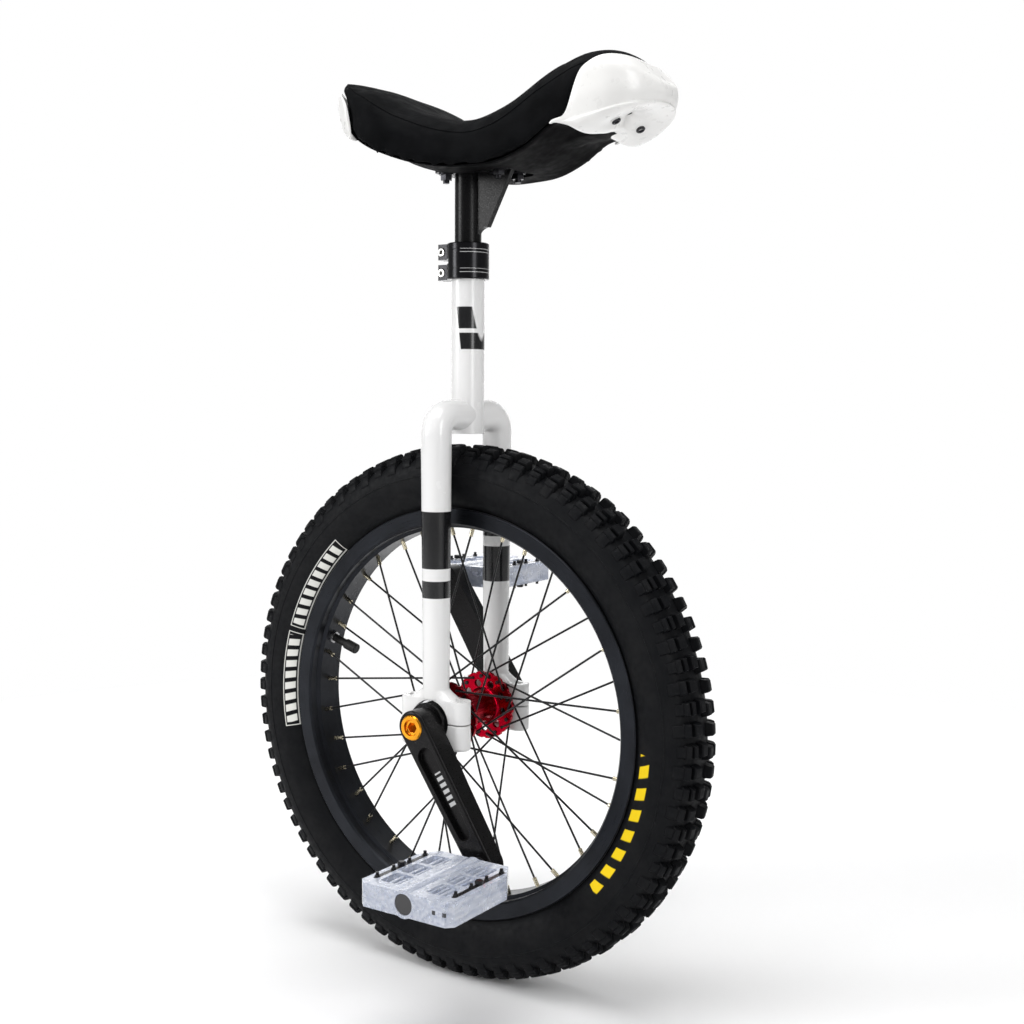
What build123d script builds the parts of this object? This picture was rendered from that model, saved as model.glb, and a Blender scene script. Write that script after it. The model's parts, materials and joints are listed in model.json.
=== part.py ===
from build123d import *
import os
from math import cos, radians, sin, sqrt

# A 20 inch trials unicycle, as the separate pieces it comes apart into.
# Its origin is on the ground under the axle. +X is forward, +Y is the rider's left and +Z is up.
# Each piece is drawn with z measured from the axle, and is lifted by ON_GROUND when it is written.
# All sizes are in millimetres.

os.makedirs("parts", exist_ok=True)

SIDES = {"right": -1, "left": 1}
FIT = 0.03          # radial gap between fixed pieces
RUNNING_FIT = 0.05  # radial gap between pieces that turn or slide

# Wheel
TYRE_RADIUS = 260.0
ON_GROUND = Location((0, 0, TYRE_RADIUS))
TYRE_WIDTH = 63.0
BEAD_RADIUS = 193.5
RIM_RADIUS = 199.5
RIM_WIDTH = 47.0
RIM_BED_RADIUS = 180.0
RIM_BED_THICKNESS = 3.5
SPOKE_COUNT = 36
SPOKE_RADIUS = 1.0
SPOKE_CROSSING_ANGLE = 60.0   # three crossings with eighteen spokes a side
FIRST_SPOKE_ANGLE = 3.0
RIM_HOLE_OFFSET = 3.0
VALVE_ANGLE = -72.0
NIPPLE_RADIUS = 2.0
NIPPLE_HEAD_RADIUS = 3.0

# Hub and bearings
HUB_BARREL_RADIUS = 15.5
FLANGE_RADIUS = 33.5
FLANGE_CENTER = 30.8
FLANGE_THICKNESS = 3.2
SPOKE_HOLE_RADIUS = 29.0      # pitch radius of the spoke holes
SPINDLE_RADIUS = 11.0
SPLINE_TEETH = 10
SPINDLE_END = 80.0
BEARING_CENTER = 50.0
BEARING_WIDTH = 12.0
BEARING_OUTER_RADIUS = 21.0
BALL_RADIUS = 3.175
BALL_PITCH_RADIUS = 16.0
BALL_COUNT = 9

# Frame
SEAT_TUBE_RADIUS = 15.9
SEAT_TUBE_BOTTOM = 270.0
SEAT_TUBE_TOP = 447.0
CROSSPIECE_HEIGHT = 288.0
LEG_TOP_RADIUS = 14.5
LEG_BOTTOM_RADIUS = 12.5
LEG_BEND_RADIUS = 18.0
TUBE_WALL = 2.5
HOLDER_TOP = 22.0
HOLDER_BOTTOM = -25.0
HOLDER_WIDTH = 20.0
HOLDER_LENGTH = 76.0
HOLDER_SPLIT = 1.4
HOLDER_NECK_LENGTH = 52.0
HOLDER_NECK_HEIGHT = 9.0
CAP_BOLT_X = 28.0

# Seat clamp and seatpost
CLAMP_RADIUS = 20.2
CLAMP_BOTTOM = 416.0
CLAMP_TOP = 450.0
CLAMP_BOLT_X = -25.0
CLAMP_BOLT_HEIGHTS = (423.0, 442.5)
POST_RADIUS = 12.7
POST_BOTTOM = 300.0
PLATE_TOP = 520.0
PLATE_THICKNESS = 5.0
GUSSET_BOTTOM = 459.0

# Cranks and pedals
CRANK_LENGTH = 140.0
CRANK_ANGLE = 33.6            # the right crank's angle forward of straight down
CRANK_OUTER_FACE = 88.0
CRANK_BODY_THICKNESS = 22.5
CRANK_BOSS_FACE = 61.5
PEDAL_INNER = 97.0
PEDAL_OUTER = 199.0
PEDAL_HALF_LENGTH = 49.0
PEDAL_HALF_HEIGHT = 10.5
PEDAL_AXLE_RADIUS = 6.0
PEDAL_BORE_RADIUS = 8.1
PIN_PITCH = 22.4
PIN_ROW = 41.5

# Saddle
SADDLE_REAR_CENTER = -50.0
SADDLE_REAR_LENGTH = 72.0
SADDLE_HALF_WIDTH = 92.0
NOSE_START = 150.0
NOSE_LENGTH = 66.0
NOSE_HALF_WIDTH = 60.0
BUMPER_WALL = 4.0
BASE_THICKNESS = 4.0
SADDLE_BOLTS = ((-14.0, 16.0), (-14.0, -16.0), (46.0, 16.0), (46.0, -16.0))


# ---------------------------------------------------------------- helpers


def side_plane(side, y, x=0.0, z=0.0, x_dir=(1, 0, 0)):
    """Plane square to the axle, at y from the middle on one side, facing outward."""
    return Plane(origin=(x, side * y, z), x_dir=x_dir, z_dir=(0, side, 0))


def crank_direction(side):
    """Unit vector from the hub to the pedal; the two cranks point opposite ways."""
    return Vector(-side * sin(radians(CRANK_ANGLE)), 0, side * cos(radians(CRANK_ANGLE)))


def crank_plane(side, y):
    """Plane facing outward with its x axis along the crank."""
    return side_plane(side, y, x_dir=crank_direction(side))


def wheel_point(angle, radius, y):
    """Point on the wheel, with the angle in degrees from the top towards the front."""
    return Vector(radius * sin(radians(angle)), y, radius * cos(radians(angle)))


def ring(inner, outer, start, end, side=1):
    """Plain ring round the axle, from start to end along one side."""
    with BuildPart() as body:
        with BuildSketch(side_plane(side, start)):
            Circle(outer)
            Circle(inner, mode=Mode.SUBTRACT)
        extrude(amount=end - start)
    return body.part


def hex_screw(shank_radius, length, head_radius, head_height, socket):
    """Socket head screw along +Z, with the underside of its head at the origin."""
    with BuildPart() as screw:
        Cylinder(head_radius, head_height, align=(Align.CENTER, Align.CENTER, Align.MAX))
        chamfer(screw.faces().sort_by(Axis.Z)[0].edges(), 0.5)
        Cylinder(shank_radius, length, align=(Align.CENTER, Align.CENTER, Align.MIN))
        with BuildSketch(Plane.XY.offset(-head_height)):
            RegularPolygon(socket / sqrt(3), 6)
        extrude(amount=head_height * 0.6, mode=Mode.SUBTRACT)
    return screw.part


# ---------------------------------------------------------------- frame


def tube_run(wall):
    """One leg pair with its crosspiece, drawn smaller by the wall thickness."""
    leg_top = CROSSPIECE_HEIGHT - LEG_BEND_RADIUS
    leg_y = BEARING_CENTER
    with BuildPart() as run:
        with BuildLine():
            arch = FilletPolyline(
                (0, -leg_y, leg_top),
                (0, -leg_y, CROSSPIECE_HEIGHT),
                (0, leg_y, CROSSPIECE_HEIGHT),
                (0, leg_y, leg_top),
                radius=LEG_BEND_RADIUS - 0.01,
            )
        with BuildSketch(arch ^ 0):
            Circle(LEG_TOP_RADIUS - wall)
        sweep(path=arch)
        for side in SIDES.values():
            with BuildSketch(Plane.XY.offset(leg_top)):
                with Locations((0, side * leg_y)):
                    Circle(LEG_TOP_RADIUS - wall)
            with BuildSketch(Plane.XY.offset(HOLDER_TOP + wall)):
                with Locations((0, side * leg_y)):
                    Circle(LEG_BOTTOM_RADIUS - wall)
            loft()
    return run.part


with BuildPart() as frame:
    add(tube_run(0))
    for side in SIDES.values():
        with BuildSketch(Plane.XY.offset(HOLDER_SPLIT / 2)):
            with Locations((0, side * BEARING_CENTER)):
                SlotOverall(HOLDER_LENGTH, HOLDER_WIDTH)
        extrude(amount=HOLDER_TOP - HOLDER_SPLIT / 2)
        with BuildSketch(Plane.XY.offset(HOLDER_TOP)):
            with Locations((0, side * BEARING_CENTER)):
                SlotOverall(HOLDER_NECK_LENGTH, HOLDER_WIDTH)
        with BuildSketch(Plane.XY.offset(HOLDER_TOP + HOLDER_NECK_HEIGHT)):
            with Locations((0, side * BEARING_CENTER)):
                Circle(LEG_BOTTOM_RADIUS)
        loft()
    add(tube_run(TUBE_WALL), mode=Mode.SUBTRACT)
    with BuildSketch(Plane.XY.offset(SEAT_TUBE_BOTTOM)):
        Circle(SEAT_TUBE_RADIUS)
    extrude(amount=SEAT_TUBE_TOP - SEAT_TUBE_BOTTOM)
    with BuildSketch(Plane.XY.offset(SEAT_TUBE_BOTTOM)):
        Circle(POST_RADIUS + RUNNING_FIT)
    extrude(amount=SEAT_TUBE_TOP - SEAT_TUBE_BOTTOM, mode=Mode.SUBTRACT)
    # clamping slot at the back of the seat tube, with a round end
    with BuildSketch(Plane.YZ.offset(-SEAT_TUBE_RADIUS - 1)):
        with Locations((0, SEAT_TUBE_TOP - 15)):
            Rectangle(2.4, 40)
        with Locations((0, SEAT_TUBE_TOP - 35)):
            Circle(2.8)
    extrude(amount=SEAT_TUBE_RADIUS, mode=Mode.SUBTRACT)
    for side in SIDES.values():
        with BuildSketch(side_plane(side, BEARING_CENTER - HOLDER_WIDTH)):
            Circle(BEARING_OUTER_RADIUS + FIT)
        extrude(amount=2 * HOLDER_WIDTH, mode=Mode.SUBTRACT)
        for x in (-CAP_BOLT_X, CAP_BOLT_X):
            with Locations((x, side * BEARING_CENTER, HOLDER_TOP)):
                CounterBoreHole(3.0, 4.2, 2.0, depth=HOLDER_TOP)
frame.part.label = "frame"
export_step(frame.part.moved(ON_GROUND), "parts/frame.step")

for name, side in SIDES.items():
    with BuildPart() as cap:
        with BuildSketch(Plane.XY.offset(HOLDER_BOTTOM)):
            with Locations((0, side * BEARING_CENTER)):
                SlotOverall(HOLDER_LENGTH, HOLDER_WIDTH)
        extrude(amount=-HOLDER_BOTTOM - HOLDER_SPLIT / 2)
        fillet(cap.faces().sort_by(Axis.Z)[0].edges(), 3.0)
        fillet(cap.faces().sort_by(Axis.Z)[-1].edges(), 0.6)
        with BuildSketch(side_plane(side, BEARING_CENTER - HOLDER_WIDTH)):
            Circle(BEARING_OUTER_RADIUS + FIT)
        extrude(amount=2 * HOLDER_WIDTH, mode=Mode.SUBTRACT)
        lower_face = Plane(
            origin=(0, side * BEARING_CENTER, HOLDER_BOTTOM), z_dir=(0, 0, -1)
        )
        with Locations(lower_face):
            with Locations((-CAP_BOLT_X, 0), (CAP_BOLT_X, 0)):
                CounterBoreHole(3.3, 5.3, 6.0, depth=-HOLDER_BOTTOM)
    cap.part.label = f"{name}_bearing_cap"
    export_step(cap.part.moved(ON_GROUND), f"parts/{name}_bearing_cap.step")

cap_screw = hex_screw(2.95, 36.0, 5.0, 5.6, 5.0)
with BuildPart() as bearing_cap_bolts:
    for side in SIDES.values():
        for x in (-CAP_BOLT_X, CAP_BOLT_X):
            with Locations((x, side * BEARING_CENTER, HOLDER_BOTTOM + 5.95)):
                add(cap_screw)
bearing_cap_bolts.part.label = "bearing_cap_bolts"
export_step(bearing_cap_bolts.part.moved(ON_GROUND), "parts/bearing_cap_bolts.step")


# ---------------------------------------------------------------- seat clamp and seatpost

LUG_END = -30.5
LUG_START = -10.0
LUG_HALF_WIDTH = 8.5
LUG_GAP = 4.6
LUG_GAP_DEPTH = 20.0
LUG_RECESS_RADIUS = 4.3
LUG_RECESS_DEPTH = 3.0
CLAMP_SLOT = 3.0
CLAMP_LINES = (425.5, 443.0)
CLAMP_MIDDLE = (CLAMP_TOP + CLAMP_BOTTOM) / 2

with BuildPart() as seat_clamp:
    with BuildSketch(Plane.XY.offset(CLAMP_BOTTOM)):
        Circle(CLAMP_RADIUS)
    extrude(amount=CLAMP_TOP - CLAMP_BOTTOM)
    chamfer(seat_clamp.edges().filter_by(GeomType.CIRCLE), 0.8)
    # two shallow lines round the ring
    for z in CLAMP_LINES:
        with BuildSketch(Plane.XY.offset(z)):
            Circle(CLAMP_RADIUS + 1)
            Circle(CLAMP_RADIUS - 0.5, mode=Mode.SUBTRACT)
        extrude(amount=0.8, mode=Mode.SUBTRACT)
    with BuildSketch(Plane.XZ):
        with Locations(((LUG_END + LUG_START) / 2, CLAMP_MIDDLE)):
            Rectangle(LUG_START - LUG_END, CLAMP_TOP - CLAMP_BOTTOM)
    extrude(amount=LUG_HALF_WIDTH, both=True)
    fillet(
        seat_clamp.edges().filter_by(Axis.Z).group_by(Axis.X)[0], 3.0
    )
    # the gap that splits the upper lugs from the lower ones
    with BuildSketch(Plane.XZ):
        with Locations((LUG_END, CLAMP_MIDDLE)):
            Rectangle(2 * LUG_GAP_DEPTH, LUG_GAP)
        with Locations((LUG_END + LUG_GAP_DEPTH, CLAMP_MIDDLE)):
            Circle(LUG_GAP / 2)
    extrude(amount=2 * LUG_HALF_WIDTH, both=True, mode=Mode.SUBTRACT)
    with BuildSketch(Plane.XY.offset(CLAMP_BOTTOM - 1)):
        Circle(SEAT_TUBE_RADIUS + FIT)
        with Locations((LUG_END, 0)):
            Rectangle(-LUG_END * 2, CLAMP_SLOT, align=(Align.CENTER, Align.CENTER))
    extrude(amount=CLAMP_TOP - CLAMP_BOTTOM + 2, mode=Mode.SUBTRACT)
    for z in CLAMP_BOLT_HEIGHTS:
        with Locations(side_plane(-1, LUG_HALF_WIDTH, CLAMP_BOLT_X, z)):
            CounterBoreHole(2.6, LUG_RECESS_RADIUS, LUG_RECESS_DEPTH, depth=2 * LUG_HALF_WIDTH)
seat_clamp.part.label = "seat_clamp"
export_step(seat_clamp.part.moved(ON_GROUND), "parts/seat_clamp.step")

clamp_screw = hex_screw(2.5, 14.6, 4.0, 4.0, 4.0)
with BuildPart() as seat_clamp_bolts:
    for z in CLAMP_BOLT_HEIGHTS:
        with Locations(
            Plane(
                origin=(CLAMP_BOLT_X, LUG_RECESS_DEPTH - 0.05 - LUG_HALF_WIDTH, z), z_dir=(0, 1, 0)
            )
        ):
            add(clamp_screw)
seat_clamp_bolts.part.label = "seat_clamp_bolts"
export_step(seat_clamp_bolts.part.moved(ON_GROUND), "parts/seat_clamp_bolts.step")

PLATE_REAR = -25.0
PLATE_FRONT = 58.0
PLATE_HALF_WIDTH = 24.0
GUSSET_THICKNESS = 6.0

with BuildPart() as seatpost:
    with BuildSketch(Plane.XY.offset(POST_BOTTOM)):
        Circle(POST_RADIUS)
    extrude(amount=PLATE_TOP - POST_BOTTOM)
    with BuildSketch(Plane.XZ):
        with BuildLine():
            Polyline(
                (POST_RADIUS - 1, PLATE_TOP - 1),
                (POST_RADIUS - 1, GUSSET_BOTTOM - 2),
                (POST_RADIUS + 0.5, GUSSET_BOTTOM),
            )
            ThreePointArc(
                (POST_RADIUS + 0.5, GUSSET_BOTTOM),
                (POST_RADIUS + 5, GUSSET_BOTTOM + 4),
                (POST_RADIUS + 11.5, GUSSET_BOTTOM + 5),
            )
            Polyline(
                (POST_RADIUS + 11.5, GUSSET_BOTTOM + 5),
                (PLATE_FRONT - 5, PLATE_TOP - 1),
                (POST_RADIUS - 1, PLATE_TOP - 1),
            )
        make_face()
    extrude(amount=GUSSET_THICKNESS / 2, both=True)
    with BuildSketch(Plane.XY.offset(PLATE_TOP - PLATE_THICKNESS)):
        with Locations(((PLATE_FRONT + PLATE_REAR) / 2, 0)):
            RectangleRounded(PLATE_FRONT - PLATE_REAR, 2 * PLATE_HALF_WIDTH, 8)
    extrude(amount=PLATE_THICKNESS)
    with BuildSketch(Plane.XY.offset(POST_BOTTOM)):
        Circle(POST_RADIUS - TUBE_WALL)
    extrude(amount=PLATE_TOP - POST_BOTTOM, mode=Mode.SUBTRACT)
    # slotted bolt holes let the saddle slide a little on its plate
    with BuildSketch(Plane.XY.offset(PLATE_TOP)):
        with Locations(*SADDLE_BOLTS):
            SlotOverall(12.0, 6.6)
    extrude(amount=-PLATE_THICKNESS, mode=Mode.SUBTRACT)
    chamfer(seatpost.faces().sort_by(Axis.Z)[0].edges(), 0.6)
seatpost.part.label = "seatpost"
export_step(seatpost.part.moved(ON_GROUND), "parts/seatpost.step")


# ---------------------------------------------------------------- saddle

# Side view of the saddle: its crown line and the line of its lower edge, back to front.
CROWN = ((-122, 592), (-110, 604), (-75, 594), (-20, 571), (20, 562), (65, 572), (120, 595), (150, 602))
LOWER_EDGE = ((-122, 562), (-86, 548), (-43, 526), (8, 511.5), (38, 510), (74, 512), (106, 521), (150, 536))
NOSE_CROWN = ((150, 602), (182, 594), (205, 575), (216, 552))


def lifted(points, height):
    """The same outline points, moved up."""
    return [(x, z + height) for x, z in points]


def two_view_block(side_view, plan_view):
    """Solid that fills its side view, seen along Y, and its plan view, seen along Z."""
    with BuildPart() as block:
        with BuildSketch(Plane.XZ):
            add(side_view)
        extrude(amount=SADDLE_HALF_WIDTH + 10, both=True)
        with BuildSketch(Plane.XY):
            add(plan_view)
        extrude(amount=700, mode=Mode.INTERSECT)
    return block.part


def saddle_plan(inset):
    """Outline of the saddle from above, behind the nose, smaller by the inset."""
    waist = 64 - inset
    with BuildSketch() as plan:
        with BuildLine() as half:
            rear = EllipticalCenterArc(
                (SADDLE_REAR_CENTER, 0),
                SADDLE_REAR_LENGTH - inset,
                SADDLE_HALF_WIDTH - inset,
                start_angle=90,
                arc_size=90,
            )
            Spline(
                rear @ 0,
                (-15, 80 - inset),
                (30, waist + 3),
                (80, waist - 3),
                (NOSE_START, NOSE_HALF_WIDTH - inset),
                tangents=((1, 0), (1, 0)),
            )
            Line((NOSE_START, NOSE_HALF_WIDTH - inset), (NOSE_START, 0))
            Line((NOSE_START, 0), rear @ 1)
        make_face()
        mirror(about=Plane.XZ)
    return plan.sketch


def saddle_side(bottom_lift, top_drop):
    """Side view of the saddle behind the nose."""
    lower = lifted(LOWER_EDGE, bottom_lift)
    upper = lifted(CROWN, -top_drop)
    with BuildSketch() as view:
        with BuildLine():
            Spline(*lower)
            Spline(*upper)
            Line(lower[0], upper[0])
            Line(lower[-1], upper[-1])
        make_face()
    return view.sketch


def nose_block(inset):
    """Rounded front of the saddle, smaller by the inset on every outer face."""
    with BuildSketch() as view:
        with BuildLine():
            crown = [(x - inset * (x - NOSE_START) / NOSE_LENGTH, z - inset) for x, z in NOSE_CROWN]
            Spline(*crown)
            Line(crown[-1], (crown[-1][0] - 4, 542 + inset))
            Line((crown[-1][0] - 4, 542 + inset), (NOSE_START, 525 + inset))
            Line((NOSE_START, 525 + inset), crown[0])
        make_face()
    with BuildSketch() as plan:
        Ellipse(NOSE_LENGTH - inset, NOSE_HALF_WIDTH - inset)
        Rectangle(200, 200, align=(Align.MAX, Align.CENTER), mode=Mode.SUBTRACT)
    return two_view_block(view.sketch, Pos(NOSE_START, 0) * plan.sketch)


REAR_BUMPER_FRONT = -84.0
REAR_BUMPER_BOTTOM = 540.0
REAR_BUMPER_TOP = 586.0
SCREW_X_FRONT = 172.0
SCREW_X_REAR = -104.0
SCREW_Y = 22.0
FRONT_SCREW_SEAT = 530.0
BUMPER_HOLE_RADIUS = 2.2
LIP_BOTTOM = 541.0
LIP_HEIGHT = 9.0


def rear_band(inset, start):
    """Block behind the given x whose back follows the saddle's rear outline."""
    with BuildSketch() as plan:
        Ellipse(SADDLE_REAR_LENGTH - inset, SADDLE_HALF_WIDTH - inset)
        with Locations((start - SADDLE_REAR_CENTER, 0)):
            Rectangle(200, 200, align=(Align.MIN, Align.CENTER), mode=Mode.SUBTRACT)
    return Pos(SADDLE_REAR_CENTER, 0) * plan.sketch


with BuildPart() as rear_bumper:
    with BuildSketch(Plane.XY.offset(REAR_BUMPER_BOTTOM)):
        add(rear_band(0, REAR_BUMPER_FRONT))
        add(rear_band(BUMPER_WALL, REAR_BUMPER_FRONT + 20), mode=Mode.SUBTRACT)
    extrude(amount=REAR_BUMPER_TOP - REAR_BUMPER_BOTTOM)
    # tongue that turns in under the saddle base
    with BuildSketch(Plane.XY.offset(REAR_BUMPER_BOTTOM)):
        add(rear_band(1, SCREW_X_REAR + 8))
    extrude(amount=BUMPER_WALL)
    with Locations(*[(SCREW_X_REAR, y, REAR_BUMPER_BOTTOM + BUMPER_WALL) for y in (-SCREW_Y, SCREW_Y)]):
        Hole(BUMPER_HOLE_RADIUS, depth=BUMPER_WALL)
rear_bumper.part.label = "rear_bumper"
export_step(rear_bumper.part.moved(ON_GROUND), "parts/rear_bumper.step")

with BuildPart() as front_bumper:
    add(nose_block(0))
    # grab lip round the lower front edge
    with BuildSketch(Plane.XY.offset(LIP_BOTTOM)):
        with Locations((NOSE_START, 0)):
            Ellipse(NOSE_LENGTH + 1, NOSE_HALF_WIDTH + 2)
            Rectangle(200, 200, align=(Align.MAX, Align.CENTER), mode=Mode.SUBTRACT)
    extrude(amount=LIP_HEIGHT)
    add(nose_block(BUMPER_WALL), mode=Mode.SUBTRACT)
    split(bisect_by=Plane.YZ.offset(NOSE_START + 0.1), keep=Keep.TOP)
    with Locations(*[(SCREW_X_FRONT, y, LIP_BOTTOM) for y in (-SCREW_Y, SCREW_Y)]):
        Hole(BUMPER_HOLE_RADIUS, depth=20)
front_bumper.part.label = "front_bumper"
export_step(front_bumper.part.moved(ON_GROUND), "parts/front_bumper.step")

KEEL_HALF_WIDTH = 24.0
KEEL_REAR = 66.0
KEEL_FRONT = 149.5
STEP_REAR = 136.0
PAD_TOP = 526.0
PAD_CORNER = 8.0
POCKET_GAP = 1.0
POCKET_WALL = 4.0
# deeper than anything that a pocket or a recess has to clear
RECESS_DEPTH = 20.0
TAB_BOTTOM = 542.5
TAB_TOP = TAB_BOTTOM + BASE_THICKNESS
TAB_LENGTH = 46.0
TAB_HALF_WIDTH = 32.0
PLATE_MIDDLE = (PLATE_FRONT + PLATE_REAR) / 2
PLATE_LENGTH = PLATE_FRONT - PLATE_REAR
BLOCK_REAR = PLATE_REAR - POCKET_GAP - POCKET_WALL
BLOCK_FRONT = PLATE_FRONT + POCKET_GAP + POCKET_WALL
BLOCK_LENGTH = BLOCK_FRONT - BLOCK_REAR
BLOCK_WIDTH = 2 * (PLATE_HALF_WIDTH + POCKET_GAP + POCKET_WALL)
SADDLE_HOLE_RADIUS = 3.2
SCREW_CORE_RADIUS = 1.9

with BuildSketch() as shell_side:
    with BuildLine():
        lower = LOWER_EDGE
        upper = lifted(LOWER_EDGE, BASE_THICKNESS)
        Spline(*lower)
        Spline(*upper)
        Line(lower[0], upper[0])
        Line(lower[-1], upper[-1])
    make_face()

with BuildSketch() as block_side:
    with BuildLine():
        Spline((BLOCK_REAR, 520.6), (-10, 514.6), (8, 511.8), (38, 510.3), (BLOCK_FRONT, 511.5))
        Polyline((BLOCK_FRONT, 511.5), (BLOCK_FRONT, PAD_TOP), (BLOCK_REAR, PAD_TOP), (BLOCK_REAR, 520.6))
    make_face()

with BuildSketch() as block_plan:
    with Locations((PLATE_MIDDLE, 0)):
        RectangleRounded(BLOCK_LENGTH, BLOCK_WIDTH, PAD_CORNER)

with BuildPart() as saddle_base:
    add(two_view_block(shell_side.sketch, saddle_plan(6)))
    # flat block over the seatpost's plate, which sits in a pocket under it
    add(two_view_block(block_side.sketch, block_plan.sketch))
    with BuildSketch(Plane.XY.offset(PLATE_TOP + 0.1)):
        with Locations((PLATE_MIDDLE, 0)):
            RectangleRounded(PLATE_LENGTH + 2 * POCKET_GAP, 2 * (PLATE_HALF_WIDTH + POCKET_GAP), PAD_CORNER)
    extrude(amount=-RECESS_DEPTH, mode=Mode.SUBTRACT)
    # keel under the front half, up to the bumper
    with BuildSketch(Plane.XZ):
        with BuildLine():
            Polyline((KEEL_REAR, 509), (90, 510), (KEEL_FRONT, 526))
            Polyline((KEEL_FRONT, 526), (KEEL_FRONT, 537), (KEEL_REAR, 512), (KEEL_REAR, 509))
        make_face()
    extrude(amount=KEEL_HALF_WIDTH, both=True)
    # tongue inside the front bumper
    with BuildSketch(Plane.XY.offset(TAB_BOTTOM)):
        with Locations((NOSE_START + 15, 0)):
            RectangleRounded(TAB_LENGTH, 2 * TAB_HALF_WIDTH, 6)
    extrude(amount=BASE_THICKNESS)
    with BuildSketch(Plane.XZ):
        with BuildLine():
            Polyline((STEP_REAR, 531), (KEEL_FRONT, 535), (KEEL_FRONT, TAB_TOP))
            Polyline((KEEL_FRONT, TAB_TOP), (STEP_REAR, TAB_TOP), (STEP_REAR, 531))
        make_face()
    extrude(amount=TAB_HALF_WIDTH, both=True)
    # the rear bumper's tongue and its wall stand clear of the base
    with BuildSketch(Plane.XY.offset(REAR_BUMPER_BOTTOM - 5)):
        add(rear_band(-5, REAR_BUMPER_FRONT + 0.5))
    extrude(amount=60, mode=Mode.SUBTRACT)
    with BuildSketch(Plane.XY.offset(REAR_BUMPER_BOTTOM + BUMPER_WALL + 0.3)):
        add(rear_band(BUMPER_WALL + 0.5, REAR_BUMPER_FRONT + 4))
    extrude(amount=BASE_THICKNESS)
    with Locations(*[(x, y, PAD_TOP) for x, y in SADDLE_BOLTS]):
        Hole(SADDLE_HOLE_RADIUS, depth=20)
    with Locations(*[(SCREW_X_FRONT, y, TAB_TOP) for y in (-SCREW_Y, SCREW_Y)]):
        Hole(SCREW_CORE_RADIUS, depth=BASE_THICKNESS)
    with Locations(*[(SCREW_X_REAR, y, REAR_BUMPER_BOTTOM + 20) for y in (-SCREW_Y, SCREW_Y)]):
        Hole(SCREW_CORE_RADIUS, depth=20)
saddle_base.part.label = "saddle_base"
export_step(saddle_base.part.moved(ON_GROUND), "parts/saddle_base.step")

STIFFENER_THICKNESS = 2.0
STIFFENER_TOP = PAD_TOP + 0.1 + STIFFENER_THICKNESS

with BuildPart() as saddle_stiffener:
    with BuildSketch(Plane.XY.offset(PAD_TOP + 0.1)):
        with Locations((PLATE_MIDDLE, 0)):
            RectangleRounded(PLATE_LENGTH - 4, 2 * PLATE_HALF_WIDTH - 4, PAD_CORNER - 2)
        with Locations(*SADDLE_BOLTS):
            Circle(SADDLE_HOLE_RADIUS, mode=Mode.SUBTRACT)
    extrude(amount=STIFFENER_THICKNESS)
saddle_stiffener.part.label = "saddle_stiffener"
export_step(saddle_stiffener.part.moved(ON_GROUND), "parts/saddle_stiffener.step")

SADDLE_BOLT_RADIUS = 3.0
BOLT_HEAD_HEIGHT = 3.0
BOLT_END = 8.0                # how far a saddle bolt stands below the top of its nut
FOAM_GAP = 1.2                # between the foam and the inside of the front bumper
FRONT_FOAM_BOTTOM = TAB_TOP + 2.0
REAR_FOAM_BOTTOM = 552.5
WASHER_RADIUS = 7.0
WASHER_THICKNESS = 1.6
NUT_TOP = PLATE_TOP - PLATE_THICKNESS - WASHER_THICKNESS - 0.2
NUT_HEIGHT = 5.0

with BuildPart() as saddle_cushion:
    add(two_view_block(saddle_side(BASE_THICKNESS + 0.4, 0), saddle_plan(0)))
    with BuildSketch(Plane.XY.offset(REAR_BUMPER_BOTTOM - 5)):
        add(rear_band(-5, REAR_BUMPER_FRONT + 0.5))
    extrude(amount=REAR_BUMPER_TOP + 5.5 - REAR_BUMPER_BOTTOM, mode=Mode.SUBTRACT)
    with BuildSketch(Plane.XY.offset(REAR_FOAM_BOTTOM)):
        add(rear_band(BUMPER_WALL + 0.5, REAR_BUMPER_FRONT + 4))
    extrude(amount=REAR_BUMPER_TOP + 1 - REAR_FOAM_BOTTOM)
    # foam inside the front bumper
    core = nose_block(BUMPER_WALL + FOAM_GAP)
    with BuildPart(mode=Mode.PRIVATE) as core_top:
        add(core)
        with BuildSketch(Plane.XY.offset(FRONT_FOAM_BOTTOM)):
            Rectangle(600, 300)
        extrude(amount=100, mode=Mode.INTERSECT)
    add(core_top.part)
    # room for the stiffener, the bolt heads and the base's front step
    with BuildSketch(Plane.XY.offset(PAD_TOP - RECESS_DEPTH)):
        with Locations((PLATE_MIDDLE, 0)):
            RectangleRounded(BLOCK_LENGTH + 1, BLOCK_WIDTH + 1, PAD_CORNER)
    extrude(amount=RECESS_DEPTH + STIFFENER_THICKNESS + BOLT_HEAD_HEIGHT + 1.5, mode=Mode.SUBTRACT)
    with BuildSketch(Plane.XY.offset(TAB_BOTTOM - RECESS_DEPTH)):
        with Locations((NOSE_START, 0)):
            Rectangle(30, 2 * TAB_HALF_WIDTH + 1)
    extrude(amount=RECESS_DEPTH + BASE_THICKNESS + 0.5, mode=Mode.SUBTRACT)
saddle_cushion.part.label = "saddle_cushion"
export_step(saddle_cushion.part.moved(ON_GROUND), "parts/saddle_cushion.step")

with BuildPart() as saddle_bolts:
    for x, y in SADDLE_BOLTS:
        with BuildSketch(Plane.XY.offset(STIFFENER_TOP + 0.05)):
            with Locations((x, y)):
                Circle(WASHER_RADIUS)
        extrude(amount=BOLT_HEAD_HEIGHT)
        with BuildSketch(Plane.XY.offset(NUT_TOP - BOLT_END)):
            with Locations((x, y)):
                Circle(SADDLE_BOLT_RADIUS)
        extrude(amount=STIFFENER_TOP + 0.1 - NUT_TOP + BOLT_END)
saddle_bolts.part.label = "saddle_bolts"
export_step(saddle_bolts.part.moved(ON_GROUND), "parts/saddle_bolts.step")

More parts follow.
